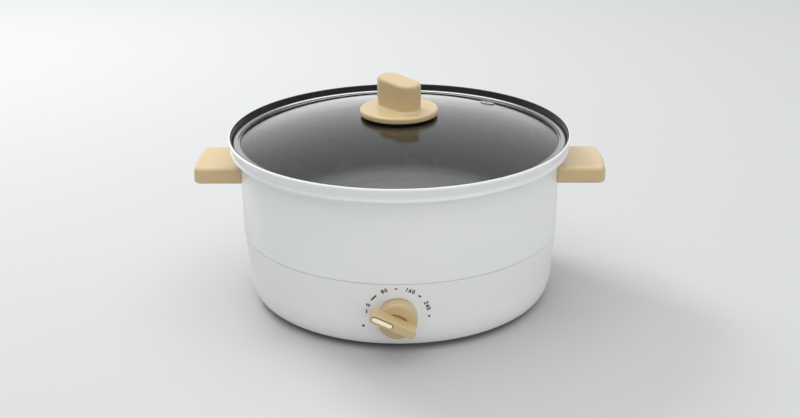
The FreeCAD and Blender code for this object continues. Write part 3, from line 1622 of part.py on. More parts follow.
def make_lid_rim():
    """Steel channel around the glass, with a rolled outer bead that sits in the pot's flare."""
    bed_edge = "glass_radius + rim_bed"
    web = "glass_radius + rim_bed + rim_sheet"
    under_inner = f"{dome('rim_inner', 'glass_thickness')} - rim_bed"
    under_outer = f"{dome('glass_radius', 'glass_thickness')} - rim_bed"
    over_inner = f"{dome('rim_inner')} + rim_bed"
    over_outer = f"{dome('glass_radius')} + rim_bed"
    bead_out = "bead_circle + bead_radius"
    bead_top = "bead_z + bead_radius"
    body = turned(
        "lid_rim",
        [
            ("rim_inner", f"{under_inner} - rim_sheet"),
            (web, f"{under_outer} - rim_sheet", "soft_edge"),
            (web, "bead_z - bead_radius"),
            (bead_out, "bead_z - bead_radius", "bead_edge_round"),
            (bead_out, bead_top, "bead_edge_round"),
            (f"{web} - rim_step", bead_top, "soft_edge"),
            (f"{bed_edge} - rim_step", f"{over_outer} + rim_sheet"),
            ("rim_inner", f"{over_inner} + rim_sheet", "fine_edge"),
            ("rim_inner", over_inner),
            (bed_edge, over_outer),
            (bed_edge, under_outer),
            ("rim_inner", under_inner),
        ],
    )
    return node(body, "lid_rim")


def make_knob():
    """Moulded knob: round flange with a slanted oval grip, bored for its screw."""
    body = turned(
        "lid_knob",
        [
            ("0", "0"),
            ("knob_radius", "0", "knob_under_round"),
            ("knob_radius", "knob_flange", "knob_flange_round"),
            ("0", "knob_flange"),
        ],
    )
    grip = new_sketch(body, "XY_Plane", "knob_flange / 2")
    ends = "(grip_length - grip_width) / 2"
    draw_stadium(grip, f"-{ends}", ends, "0", "grip_width / 2")
    pad(body, grip, "grip_height - knob_flange / 2")
    slant = new_sketch(body, "XZ_Plane")
    half, far = "grip_length / 2", "(grip_length / 2 + overrun)"
    draw_outline(
        slant,
        [
            (f"-{half}", "grip_height"),
            (far, f"grip_height - grip_slope * (1 + overrun / grip_length)"),
            (far, "grip_height + overrun"),
            (f"-{half}", "grip_height + overrun"),
        ],
    )
    pocket(body, slant, "grip_width + 2 * overrun", both_ways=True)
    lowest = number("grip_height - grip_slope - fine_edge")
    round_edges(body, "grip_edge_round",
                lambda edge: all(vertex.Z > lowest for vertex in edge.Vertexes))
    flange = number("knob_flange")
    outside = number("knob_radius - knob_flange_round - fine_edge")

    def at_grip_foot(edge):
        middle = edge.valueAt((edge.FirstParameter + edge.LastParameter) / 2)
        return on_level(edge, flange) and math.hypot(middle.x, middle.y) < outside

    round_edges(body, "grip_foot_round", at_grip_foot)
    bore = new_sketch(body, "XY_Plane")
    draw_circle(bore, "0", "0", "knob_screw_radius + fit")
    pocket(body, bore, "knob_screw_length - (knob_z - washer_under) + knob_bore_spare")
    place(body, "0", "0", "knob_z", Rotation(Vector(0, 0, 1), number("grip_turn")))
    return node(body, "lid_knob")


def make_knob_seals():
    gasket = turned(
        "knob_gasket",
        [
            ("gasket_bore", f"{dome('gasket_bore')} + gasket_clearance"),
            ("gasket_radius", f"{dome('gasket_radius')} + gasket_clearance"),
            ("gasket_radius", "knob_z"),
            ("gasket_bore", "knob_z"),
        ],
    )
    node(gasket, "knob_gasket")
    seal = turned(
        "knob_inner_seal",
        [
            ("knob_screw_radius + fit", "seal_under"),
            ("inner_seal_radius", "seal_under", "fine_edge"),
            ("inner_seal_radius", f"{dome('inner_seal_radius', 'glass_thickness')} - fit"),
            ("knob_screw_radius + fit", f"{dome('inner_seal_radius', 'glass_thickness')} - fit"),
        ],
    )
    node(seal, "knob_inner_seal")
    washer = turned(
        "knob_washer",
        [
            ("knob_screw_radius + fit", "washer_under"),
            ("knob_washer_radius", "washer_under", "fine_edge"),
            ("knob_washer_radius", "seal_under"),
            ("knob_screw_radius + fit", "seal_under"),
        ],
    )
    node(washer, "knob_washer")


def make_knob_screw():
    body = screw("knob_screw", "knob_head_radius", "knob_head_height",
                 "knob_screw_radius", "knob_screw_length")
    place(body, "0", "0", "washer_under")
    return node(body, "knob_screw")


# ---------------------------------------------------------------- assembly and files


def make_all():
    make_pot()
    make_handle("right_handle", 1)
    make_handle("left_handle", -1)
    make_handle_screws()
    make_housing()
    make_seam_seal()
    make_cover()
    for index, name in enumerate(("back_right", "back_left", "front_left", "front_right")):
        make_foot("foot_" + name, index)
    make_cover_screws()
    make_pillars()
    make_shield()
    make_push_nuts()
    make_heater_plate()
    make_element()
    make_terminals()
    make_rod("sensing_bulb", "bulb_radius", "bulb_length", "0", "-bulb_offset")
    make_rod("thermal_fuse", "fuse_radius", "fuse_length", "-fuse_shift", "fuse_offset")
    make_strap("bulb_strap", "bulb_radius", "0", "-bulb_offset")
    make_strap("fuse_strap", "fuse_radius", "-fuse_shift", "fuse_offset")
    make_strap_screws()
    make_bracket()
    make_thermostat()
    make_neck_nut()
    make_thermostat_tabs()
    make_shaft()
    make_lamp()
    make_studs()
    make_earth_tag()
    make_dial()
    make_window()
    make_dial_clip()
    make_inlet()
    make_pins()
    make_inlet_screws()
    make_leads()
    make_lamp_leads()
    make_glass()
    make_eyelet()
    make_lid_rim()
    make_knob()
    make_knob_seals()
    make_knob_screw()


def check_all():
    DOCUMENT.recompute()
    for item in DOCUMENT.Objects:
        if "Invalid" in item.State or "Error" in item.State:
            raise ValueError(f"{item.Name} failed: {item.State}")
    for item in NODES:
        if item.Shape.isNull() or not item.Shape.isValid() or not item.Shape.Solids:
            raise ValueError(f"{item.Label} has no valid solid")


def write_all():
    os.makedirs("parts", exist_ok=True)
    for item in NODES:
        item.Shape.exportStep(f"parts/{item.Label}.step")
    print(f"{len(NODES)} sub-parts written")


fill_sheet()
make_all()
check_all()
write_all()
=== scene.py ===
# %% [markdown]
# # An electric hot pot with a glass lid
#
# The real object is a white pot on a white plastic base. The pot flares out into a wide rim, a domed
# glass lid sits inside that rim, and the lid's knob, the two side handles and the dial are cream.
# The construction is already modelled to size, so this lesson loads it as a fixed frame and adds
# what the eye sees: finishes, printed marks, and the shells whose surface has to be really smooth.

# %% Load the frame
import json
import math

import bpy
from mathutils import Matrix, Vector


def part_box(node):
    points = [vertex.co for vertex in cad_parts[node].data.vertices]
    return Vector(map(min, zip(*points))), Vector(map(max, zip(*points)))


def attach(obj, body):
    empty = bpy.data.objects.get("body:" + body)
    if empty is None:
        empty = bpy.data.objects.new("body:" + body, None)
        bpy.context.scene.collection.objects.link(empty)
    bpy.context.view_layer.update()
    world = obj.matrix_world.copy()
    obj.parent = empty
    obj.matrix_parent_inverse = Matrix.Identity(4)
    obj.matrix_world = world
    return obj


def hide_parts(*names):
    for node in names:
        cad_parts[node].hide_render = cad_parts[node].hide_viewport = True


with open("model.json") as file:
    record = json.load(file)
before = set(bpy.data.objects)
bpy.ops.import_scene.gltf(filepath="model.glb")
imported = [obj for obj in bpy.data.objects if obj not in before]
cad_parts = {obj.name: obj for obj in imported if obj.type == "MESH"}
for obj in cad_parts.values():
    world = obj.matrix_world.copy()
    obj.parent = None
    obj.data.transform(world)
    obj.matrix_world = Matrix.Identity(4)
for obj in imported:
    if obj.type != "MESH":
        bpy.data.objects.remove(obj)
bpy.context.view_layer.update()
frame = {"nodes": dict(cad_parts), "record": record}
nodes = frame["nodes"]

# %% [markdown]
# ## The camera
#
# The camera comes first, because everything else is judged through it. It stands a metre in front of
# the pot and looks down at it by about a quarter of a right angle. A matrix made of three plain
# turns, one for each way that a hand would turn a camera, is easier to read than three Euler angles.

# %% Camera
CAMERA_DISTANCE = 1.000
CAMERA_HEIGHT = 0.469
CAMERA_SIDE = math.radians(1.1)
CAMERA_DIP = math.radians(21.59)
CAMERA_ROLL = math.radians(-0.54)
CAMERA_LENS = 53.46
CAMERA_SENSOR = 36

eye = Vector((math.sin(CAMERA_SIDE), -math.cos(CAMERA_SIDE), 0)) * CAMERA_DISTANCE
eye.z = CAMERA_HEIGHT
bpy.ops.object.camera_add(location=eye)
camera = bpy.context.object
camera.name = "camera"
camera.matrix_world = (
    Matrix.Translation(eye)
    @ Matrix.Rotation(CAMERA_SIDE, 4, "Z")
    @ Matrix.Rotation(math.pi / 2 - CAMERA_DIP, 4, "X")
    @ Matrix.Rotation(CAMERA_ROLL, 4, "Z")
)
camera.data.lens = CAMERA_LENS
camera.data.sensor_width = CAMERA_SENSOR
bpy.context.scene.camera = camera
print("camera at", tuple(round(v, 3) for v in eye))

# %% [markdown]
# ## Lamps
#
# Two square lamps light the pot. The key lamp stands high behind it on the left, so the tops of the
# handles are bright, the sides towards the eye are a tone darker and a soft shadow falls to the front
# right. A wider, weak lamp low at the front right keeps the dial's side from going grey. The lid is a
# dark mirror, and a lamp in it would be a hard white square, so glass and metal don't see the lamps.

# %% Lamps
LAMP_AIM = Vector((0, 0, 0.1))
scene = bpy.context.scene
scene.view_settings.view_transform = "Standard"


def soft_lamp(name, place, size, watts):
    """A square lamp at a place, turned to face the pot, which mirrors and glass don't show."""
    bpy.ops.object.light_add(type="AREA", location=place)
    lamp = bpy.context.object
    lamp.name = name
    lamp.data.size = size
    lamp.data.energy = watts
    lamp.visible_glossy = False
    lamp.visible_transmission = False
    lamp.rotation_euler = (LAMP_AIM - Vector(place)).to_track_quat("-Z", "Y").to_euler()
    print(name, "gives", watts, "W")


soft_lamp("lamp_above", place=(-1.0, 1.05, 1.4), size=0.6, watts=21)
soft_lamp("lamp_front", place=(0.9, -1.7, 0.6), size=1.2, watts=6)

# %% [markdown]
# ## The sky
#
# What polished steel and glass show is the world round them, so the world isn't one grey. It is dim
# at the horizon, grows slowly upwards and is brightest from about fifty degrees up, as under a light
# ceiling. The side of the pot then stays a quiet white, and the lid's rim has a contrast. A ramp
# holds no level above one, so the levels are divided by the highest, and the background's strength
# brings them back.

# %% Sky
HORIZON, MIDDLE_SKY, HIGH, ZENITH = 0.28, 0.58, 1.80, 1.70
SKY_TINT = (0.98, 0.99, 1.0)
GLOW = ((0.0, HORIZON / HIGH), (0.68, MIDDLE_SKY / HIGH), (0.79, 1.0), (1.0, ZENITH / HIGH))
world = bpy.data.worlds.new("pale_room")
scene.world = world
world.use_nodes = True
sky = world.node_tree


def sky_node(kind, **settings):
    """Adds a node to the world and sets it."""
    made = sky.nodes.new(kind)
    for name, setting in settings.items():
        setattr(made, name, setting)
    return made


direction = sky_node("ShaderNodeSeparateXYZ")
sky.links.new(sky_node("ShaderNodeTexCoord").outputs["Generated"], direction.inputs["Vector"])


def sky_ramp(axis, levels):
    """Grey levels along an axis of the direction that is looked in, from pairs of place and level."""
    ramp = sky_node("ShaderNodeValToRGB")
    while len(ramp.color_ramp.elements) < len(levels):
        ramp.color_ramp.elements.new(0.5)
    for stop, (place, level) in zip(ramp.color_ramp.elements, levels):
        stop.position = place
        stop.color = (*(level * part for part in SKY_TINT), 1)
    sky.links.new(direction.outputs[axis], ramp.inputs["Fac"])
    return ramp.outputs["Color"]


glow = sky_ramp("Z", GLOW)
print("sky levels:", [round(level * HIGH, 2) for place, level in GLOW])

# %% [markdown]
# ## The backdrop
#
# A pale wall stands behind the pot. It is part of the world and not an object, so it lights nothing
# and throws nothing back: only the eye, mirrors and glass see it. Three fades bound it. It ends
# upwards, it isn't there in front of the pot, and it is weaker to the right, where the glass of the
# lid is dark. Being seen and each fade are factors, which multiply to the backdrop's share.

# %% Backdrop
BACKDROP = 0.95
FADE_UP = ((0.08, 1.0), (0.62, 0.0))
FADE_FORWARD = ((0.0, 0.0), (0.5, 1.0))
FADE_RIGHT = ((0.0, 1.0), (0.7, 0.3))


def sky_sum(operation, first, second):
    """The result of one sum on two sockets of the world."""
    made = sky_node("ShaderNodeMath", operation=operation)
    sky.links.new(first, made.inputs[0])
    sky.links.new(second, made.inputs[1])
    return made.outputs[0]


fades = [sky_ramp("Z", FADE_UP), sky_ramp("Y", FADE_FORWARD), sky_ramp("X", FADE_RIGHT)]
path = sky_node("ShaderNodeLightPath")
seen = path.outputs["Is Camera Ray"]
for kind in ("Is Glossy Ray", "Is Transmission Ray"):
    seen = sky_sum("MAXIMUM", seen, path.outputs[kind])
for fade in fades:
    seen = sky_sum("MULTIPLY", seen, fade)
backdrop = sky_node("ShaderNodeMix", data_type="RGBA")
sky.links.new(seen, backdrop.inputs[0])
sky.links.new(glow, backdrop.inputs[6])
backdrop.inputs[7].default_value = (BACKDROP / HIGH,) * 3 + (1,)
sky.links.new(backdrop.outputs[2], sky.nodes["Background"].inputs["Color"])
sky.nodes["Background"].inputs["Strength"].default_value = HIGH
print("world nodes:", len(sky.nodes))

# %% [markdown]
# ## The floor
#
# The floor is a plain pale plane that takes the pot's shadow. It isn't part of the object, so it is
# only staged.

# %% Floor
FLOOR_SIZE = 4
FLOOR_COLOUR = (0.52, 0.525, 0.525, 1)
FLOOR_ROUGHNESS = 0.8
bpy.ops.mesh.primitive_plane_add(size=FLOOR_SIZE, location=(0, 0, 0))
floor = bpy.context.object
floor.name = "floor"
floor_finish = bpy.data.materials.new("pale_floor")
floor_finish.use_nodes = True
floor_shader = floor_finish.node_tree.nodes["Principled BSDF"]
floor_shader.inputs["Base Color"].default_value = FLOOR_COLOUR
floor_shader.inputs["Roughness"].default_value = FLOOR_ROUGHNESS
floor.data.materials.append(floor_finish)
print("floor", FLOOR_SIZE, "m across")

# %% [markdown]
# ## Shader arithmetic
#
# A finish is a small calculation: take a place on the piece, look up a noise there, and turn it into
# a colour, a gloss and a height. Written as nodes that is a tangle of links; written as Python
# expressions it reads like the sentence above. So one class stands for a socket and knows plus,
# minus and times, also where the number comes first.


# %% Values
class Value:
    """A socket that sums can be done with."""

    def __init__(self, finish, socket):
        self.finish = finish
        self.socket = socket

    def math(self, operation, *others):
        """Adds a Math node that does one sum on this value and others."""
        values = dict(enumerate((self, *others)))
        return self.finish.node("ShaderNodeMath", {"operation": operation}, values)

    def __add__(self, other):
        return self.math("ADD", other)

    def __sub__(self, other):
        return self.math("SUBTRACT", other)

    def __rsub__(self, other):
        return self.math("MULTIPLY_ADD", -1, other)

    def __mul__(self, other):
        return self.math("MULTIPLY", other)

    __radd__ = __add__
    __rmul__ = __mul__


print("a Value knows", ", ".join(name for name in vars(Value) if name.endswith(("add__", "sub__", "mul__"))))

# %% [markdown]
# The second class stands for a material. It adds any node that a line asks for and feeds its
# sockets, and what is the same all over the piece sits on the shader's own socket.


# %% Finishes
CREAM = (0.600, 0.448, 0.228)


class Finish:
    """A material with one Principled shader. Constants sit on the shader's own sockets."""

    def __init__(self, name, **constants):
        self.material = bpy.data.materials.new(name)
        self.material.use_nodes = True
        self.tree = self.material.node_tree
        self.shader = self.tree.nodes["Principled BSDF"]
        for words, value in constants.items():
            socket = words.replace("_", " ").title().replace("Ior", "IOR")
            self.shader.inputs[socket].default_value = value

    def feed(self, socket, value):
        """Sets a socket to a number or colour, or links a value to it."""
        if isinstance(value, Value):
            self.tree.links.new(value.socket, socket)
        else:
            socket.default_value = value

    def node(self, kind, settings, inputs, output=0):
        """Adds a node: its settings first, then its inputs. The result is one of its outputs."""
        made = self.tree.nodes.new(kind)
        for name, setting in settings.items():
            setattr(made, name, setting)
        for key, value in inputs.items():
            self.feed(made.inputs[key], value)
        return Value(self, made.outputs[output])

    def place(self):
        """Where a point lies on the piece, in metres."""
        return self.node("ShaderNodeTexCoord", {}, {}, "Object")

    def noise(self, size, detail=3.0):
        """Smooth noise from 0 to 1 whose lumps are about this many metres across."""
        inputs = {"Vector": self.place(), "Scale": 1 / size, "Detail": detail}
        return self.node("ShaderNodeTexNoise", {}, inputs, "Fac")

    def mix(self, share, first, second):
        """A colour between two others."""
        settings = {"data_type": "RGBA"}
        return self.node("ShaderNodeMix", settings, {0: share, 6: first, 7: second}, 2)

    def clip(self, value, low, high):
        """A value brought from low..high to 0..1, and kept inside."""
        return self.node("ShaderNodeMapRange", {}, {0: value, 1: low, 2: high})

    def bump(self, height, depth):
        """Tilts the surface as if the height, from 0 to 1, stood this many metres out of it."""
        inputs = {"Height": height, "Distance": depth, "Strength": 1.0}
        self.feed(self.shader.inputs["Normal"], self.node("ShaderNodeBump", {}, inputs))

    def colour(self, value):
        """What colour the piece has."""
        self.feed(self.shader.inputs["Base Color"], value)

    def rough(self, value):
        """How matt the piece is, from 0 to 1."""
        self.feed(self.shader.inputs["Roughness"], value)


def shade(colour, factor):
    """The colour made lighter or darker."""
    return tuple(channel * factor for channel in colour) + (1,)


print("a darker cream is", shade(CREAM, 0.5))


# %% [markdown]
# ## Moulded plastics and rubbers
#
# No moulded surface is one flat colour. The tool that shaped it was spark-eroded, which leaves a
# grain finer than a millimetre, and the pigment settles a touch unevenly. Fine noise makes the
# grain, wide noise makes the unevenness, and both stay so weak that they show only as life in the
# highlights. One function serves every plain moulded finish, because they differ only in numbers.


# %% Grained finishes
CLOUD = 0.045
CLOUD_DETAIL, GRAIN_DETAIL = 2.0, 4.0
CLOUD_SHARE, GRAIN_SHARE = 0.7, 0.3
CLOUD_GLOSS, GRAIN_GLOSS, MEAN_GLOSS = 0.04, 0.06, 0.05


def grained(name, colour, roughness, grain, depth, unevenness=0.03, **constants):
    """A moulded surface: a fine grain of this size and depth, and a wide, weak unevenness."""
    finish = Finish(name, **constants)
    wide = finish.noise(CLOUD, CLOUD_DETAIL)
    fine = finish.noise(grain, GRAIN_DETAIL)
    low, high = shade(colour, 1 - unevenness), shade(colour, 1 + unevenness)
    finish.colour(finish.mix(wide * CLOUD_SHARE + fine * GRAIN_SHARE, low, high))
    finish.rough(roughness - MEAN_GLOSS + wide * CLOUD_GLOSS + fine * GRAIN_GLOSS)
    finish.bump(fine, depth)
    return finish.material


cream_plastic = grained(
    "cream_plastic", CREAM, 0.44, 0.00060, 0.000016, coat_weight=1.0, coat_roughness=0.22
)
skirt_plastic = grained("skirt_plastic", (0.84, 0.845, 0.845), 0.34, 0.00090, 0.000008, 0.012)
black_plastic = grained("black_plastic", (0.022, 0.022, 0.023), 0.55, 0.00080, 0.000030, 0.15)
black_rubber = grained("black_rubber", (0.020, 0.020, 0.020), 0.78, 0.00050, 0.000040, 0.25)
dark_silicone = grained("dark_silicone", (0.045, 0.045, 0.047), 0.60, 0.00070, 0.000012, 0.10)
lead_plastic = grained("lead_plastic", (0.36, 0.35, 0.33), 0.52, 0.00050, 0.000010, 0.08)
ceramic = grained("ceramic", (0.80, 0.77, 0.69), 0.72, 0.00040, 0.000020, 0.05)
lamp_plastic = grained("lamp_plastic", (0.85, 0.42, 0.12), 0.22, 0.00150, 0.000004, 0.05)
# painted shadow: a dark brown finish for the ring that stands for the shade in the gap round the dial's
# window
painted_gap_shadow = grained("painted_gap_shadow", (0.060, 0.030, 0.012), 0.60, 0.00050, 0.000008, 0.10)
seam_rubber = grained("seam_rubber", (0.60, 0.60, 0.60), 0.60, 0.00070, 0.000012, 0.06)
mark_ink = grained("mark_ink", (0.030, 0.031, 0.033), 0.50, 0.00030, 0.000004, 0.25)
print("moulded finishes ready")

# %% [markdown]
# ## Metals
#
# Turned and drawn metal carries fine lines that run round its axis. A noise looked up at the
# distance from the axis alone gives such lines, because that distance is the same all round the
# ring. Cast aluminium has no direction, so it gets a coarse noise instead, and sheet steel gets the
# spangle of its zinc from a Voronoi pattern.


# %% Metals
SMUDGE, STAIN, SHEET_GRAIN, SHEET_DEPTH = 0.03, 0.02, 0.0006, 0.000006
LINE_DETAIL, CAST_DETAIL = 2.0, 5.0
LINE_TONES, CAST_TONES, SPANGLE_TONES = (0.94, 1.04), (0.86, 1.08), (0.84, 1.06)
LINE_GLOSS, SMUDGE_GLOSS, MEAN_LINE_GLOSS = 0.06, 0.08, 0.07
CAST_GLOSS = 0.10
SPANGLE_ROUGHNESS, SPANGLE_GLOSS = 0.26, 0.16


def turned_metal(name, colour, roughness, line, depth):
    """Metal with fine lines round the Z axis, this far apart."""
    finish = Finish(name, metallic=1.0)
    across = {0: finish.place(), 1: (1, 1, 0)}
    flat = finish.node("ShaderNodeVectorMath", {"operation": "MULTIPLY"}, across)
    radius = finish.node("ShaderNodeVectorMath", {"operation": "LENGTH"}, {0: flat}, "Value")
    along = {"W": radius, "Scale": 1 / line, "Detail": LINE_DETAIL}
    lines = finish.node("ShaderNodeTexNoise", {"noise_dimensions": "1D"}, along, "Fac")
    smudge = finish.noise(SMUDGE)
    finish.colour(finish.mix(lines, *(shade(colour, tone) for tone in LINE_TONES)))
    finish.rough(roughness + lines * LINE_GLOSS + smudge * SMUDGE_GLOSS - MEAN_LINE_GLOSS)
    finish.bump(lines, depth)
    return finish.material


def plain_metal(name, colour, roughness, grain, depth):
    """Cast, drawn or plated metal without a direction."""
    finish = Finish(name, metallic=1.0)
    grains = finish.noise(grain, CAST_DETAIL)
    stain = finish.noise(STAIN)
    unevenness = stain * 0.5 + grains * 0.5
    finish.colour(finish.mix(unevenness, *(shade(colour, tone) for tone in CAST_TONES)))
    finish.rough(roughness + grains * CAST_GLOSS + stain * CAST_GLOSS - CAST_GLOSS)
    finish.bump(grains, depth)
    return finish.material


def plated_sheet(name, colour, spangle):
    """Zinc-plated steel: flat crystals, each with a tone and gloss of its own."""
    finish = Finish(name, metallic=1.0)
    cells = {"Vector": finish.place(), "Scale": 1 / spangle}
    crystals = finish.node("ShaderNodeTexVoronoi", {}, cells, "Color")
    tone = finish.node("ShaderNodeSeparateColor", {}, {"Color": crystals})
    finish.colour(finish.mix(tone, *(shade(colour, factor) for factor in SPANGLE_TONES)))
    finish.rough(tone * SPANGLE_GLOSS + SPANGLE_ROUGHNESS)
    finish.bump(finish.noise(SHEET_GRAIN), SHEET_DEPTH)
    return finish.material


rim_steel = turned_metal("rim_steel", (0.62, 0.62, 0.61), 0.20, 0.00035, 0.0000015)
bright_steel = plated_sheet("bright_steel", (0.56, 0.57, 0.58), 0.004)
aluminium = plain_metal("aluminium", (0.70, 0.71, 0.72), 0.46, 0.0009, 0.000020)
brass = plain_metal("brass", (0.78, 0.60, 0.28), 0.32, 0.0006, 0.000006)
copper = plain_metal("copper", (0.80, 0.45, 0.28), 0.30, 0.0008, 0.000005)
print("metals ready")

# %% [markdown]
# ## Enamel
#
# The outside of the pot is sprayed enamel over metal: clean white, with the faint ripple that spray
# leaves, called orange peel. A thin clear coat on the shader gives its second, sharper gloss.


# %% Enamel
ENAMEL_TONES = ((0.835, 0.845, 0.850, 1), (0.855, 0.862, 0.865, 1))
ENAMEL_CLOUD, PEEL, PEEL_DEPTH = 0.06, 0.0016, 0.000008
ENAMEL_ROUGHNESS, ENAMEL_GLOSS, PEEL_GLOSS = 0.30, 0.05, 0.03


def sprayed_enamel():
    """White enamel with a faint ripple."""
    finish = Finish("white_enamel", coat_weight=0.25, coat_roughness=0.12)
    wide = finish.noise(ENAMEL_CLOUD, CLOUD_DETAIL)
    peel = finish.noise(PEEL, CLOUD_DETAIL)
    finish.colour(finish.mix(wide, *ENAMEL_TONES))
    finish.rough(ENAMEL_ROUGHNESS + wide * ENAMEL_GLOSS + peel * PEEL_GLOSS)
    finish.bump(peel, PEEL_DEPTH)
    return finish.material


white_enamel = sprayed_enamel()
print("enamel ready")

# %% [markdown]
# ## Non-stick lining
#
# The inside of the pot is a dark non-stick coating with tiny pale flecks. The flecks are the peaks of
# a fine noise: all below a threshold is cut away, and what stays is mixed in at half strength.


# %% Non-stick lining
LINING_TONES = ((0.016, 0.016, 0.0165, 1), (0.023, 0.023, 0.0235, 1))
FLECK_COLOUR = (0.16, 0.16, 0.165, 1)
FLECK, FLECK_FROM, FLECK_TO, FLECK_SHARE = 0.0007, 0.62, 0.70, 0.5
LINING_CLOUD, LINING_GRAIN, LINING_DEPTH = 0.03, 0.0009, 0.000018
LINING_ROUGHNESS, LINING_GLOSS, FLECK_GLOSS = 0.24, 0.05, 0.10


def non_stick():
    """A dark coating with flecks."""
    finish = Finish("non_stick", specular_ior_level=0.25)
    flecks = finish.clip(finish.noise(FLECK, CLOUD_DETAIL), FLECK_FROM, FLECK_TO)
    cloud = finish.noise(LINING_CLOUD)
    dark = finish.mix(cloud, *LINING_TONES)
    finish.colour(finish.mix(flecks * FLECK_SHARE, dark, FLECK_COLOUR))
    finish.rough(LINING_ROUGHNESS + cloud * LINING_GLOSS + flecks * FLECK_GLOSS)
    finish.bump(finish.noise(LINING_GRAIN), LINING_DEPTH)
    return finish.material


lining_coat = non_stick()
print("lining ready")

# %% [markdown]
# ## Glass and the lit window
#
# The lid is clear glass, whose shader bends light, so it needs no picture of its surroundings. The
# window in the dial glows a little, because a lamp stands behind it, so its colour also feeds the
# shader's emission.


# %% Glass and window
GLASS_TONES = ((0.93, 0.95, 0.945, 1), (0.95, 0.965, 0.96, 1))
WINDOW_TONES = ((0.95, 0.80, 0.58, 1), (0.99, 0.88, 0.70, 1))
FILM, WINDOW_CLOUD = 0.05, 0.004
WINDOW_ROUGHNESS, WINDOW_GLOSS = 0.30, 0.06


def clear_glass():
    """Clear glass with a film of uneven tint."""
    finish = Finish("clear_glass", transmission_weight=1.0, ior=1.50, roughness=0.0)
    finish.colour(finish.mix(finish.noise(FILM, CLOUD_DETAIL), *GLASS_TONES))
    return finish.material


def lit_window():
    """Warm pale plastic that glows."""
    finish = Finish("lit_window", emission_strength=0.14, coat_weight=0.3)
    wide = finish.noise(WINDOW_CLOUD, CLOUD_DETAIL)
    warm = finish.mix(wide, *WINDOW_TONES)
    finish.colour(warm)
    finish.feed(finish.shader.inputs["Emission Color"], warm)
    finish.rough(WINDOW_ROUGHNESS + wide * WINDOW_GLOSS)
    return finish.material


glass = clear_glass()
window_plastic = lit_window()
print("glass and window ready")

# %% [markdown]
# ## Dress the construction
#
# The pieces that are already the right shape keep their mesh and only change their coat. The record
# names a material slot for each of them, so a table from slot to finish dresses them all in one
# loop, and a piece that is added later is dressed without another line.

# %% Dress the frame's own pieces
COATS = {
    "white_coating": white_enamel,
    "white_plastic": skirt_plastic,
    "cream_plastic": cream_plastic,
    "window_plastic": window_plastic,
    "lamp_plastic": lamp_plastic,
    "black_plastic": black_plastic,
    "lead_plastic": lead_plastic,
    "glass": glass,
    "rim_steel": rim_steel,
    "bright_steel": bright_steel,
    "aluminium": aluminium,
    "brass": brass,
    "copper": copper,
    "black_rubber": black_rubber,
    "dark_silicone": dark_silicone,
    "ceramic": ceramic,
}
subparts = frame["record"]["subparts"]
for piece in subparts:
    for holder in nodes[piece["node"]].material_slots:
        holder.material = COATS[piece["material_slot"]]
nodes["seam_seal"].material_slots[0].material = seam_rubber
print("dressed", len(subparts), "pieces")

# %% [markdown]
# ## Helpers for modelling
#
# Most of the pot is turned: one outline swept round one axis. By hand that is a circle, extruded and
# resized again and again. A real edge is never sharp, so the outline is given by its corners and a
# rounding for each, and a helper turns each rounding into a short row of points on its arc.

# %% Outlines
MM = 0.001
ARC_STEP = math.radians(9)


def mm(*values):
    """Millimetres as metres."""
    return tuple(value * MM for value in values)


def arc_between(before, corner, after, radius):
    """Points on the arc that rounds a corner between its two neighbours."""
    back = (before - corner).normalized()
    ahead = (after - corner).normalized()
    half = back.angle(ahead) / 2
    centre = corner + (back + ahead).normalized() * (radius / math.sin(half))
    arm = corner + back * (radius / math.tan(half)) - centre
    swing = (math.pi - 2 * half) * (1 if back.cross(ahead) < 0 else -1)
    steps = max(2, math.ceil(abs(swing) / ARC_STEP))
    return [centre + Matrix.Rotation(swing * step / steps, 2) @ arm for step in range(steps + 1)]


def rounded(*corners):
    """An outline's points from corners (radius, height) or (radius, height, rounding), in millimetres."""
    spots = [Vector(mm(*corner[:2])) for corner in corners]
    points = []
    for index, corner in enumerate(corners):
        if len(corner) == 2:
            points.append(spots[index])
        else:
            after = spots[(index + 1) % len(spots)]
            points += arc_between(spots[index - 1], spots[index], after, corner[2] * MM)
    return points


print("a rounding has a point every", round(math.degrees(ARC_STEP)), "degrees")

# %% [markdown]
# Turning goes outline point by outline point: the last circle is extruded to the next height, and
# resized to the next radius about the axis. An operator acts on all that is selected, so each piece
# starts with nothing selected.

# %% Turning
ROUND_STEPS = 192
MERGE = 1e-7


def start_clean():
    """Nothing is selected, so that the next operator acts on the new piece alone."""
    bpy.ops.object.select_all(action="DESELECT")


def turn(points, steps=ROUND_STEPS):
    """A skin turned about the Z axis: a circle extruded and resized along the outline's points."""
    start_clean()
    first = points[0]
    bpy.ops.mesh.primitive_circle_add(vertices=steps, radius=first.x, location=(0, 0, first.y))
    bpy.ops.object.transform_apply(location=True, rotation=True, scale=True)
    bpy.ops.object.mode_set(mode="EDIT")
    for before, after in zip(points, points[1:]):
        growth = after.x / before.x
        bpy.ops.mesh.extrude_edges_move(TRANSFORM_OT_translate={"value": (0, 0, after.y - before.y)})
        bpy.ops.transform.resize(value=(growth, growth, 1), center_override=(0, 0, after.y))
    bpy.ops.object.mode_set(mode="OBJECT")
    return bpy.context.object


def open_edges():
    """In edit mode: selects the edges that have a face on one side only."""
    bpy.ops.mesh.select_all(action="DESELECT")
    bpy.ops.mesh.select_non_manifold(
        use_wire=False, use_multi_face=False, use_non_contiguous=False, use_verts=False
    )


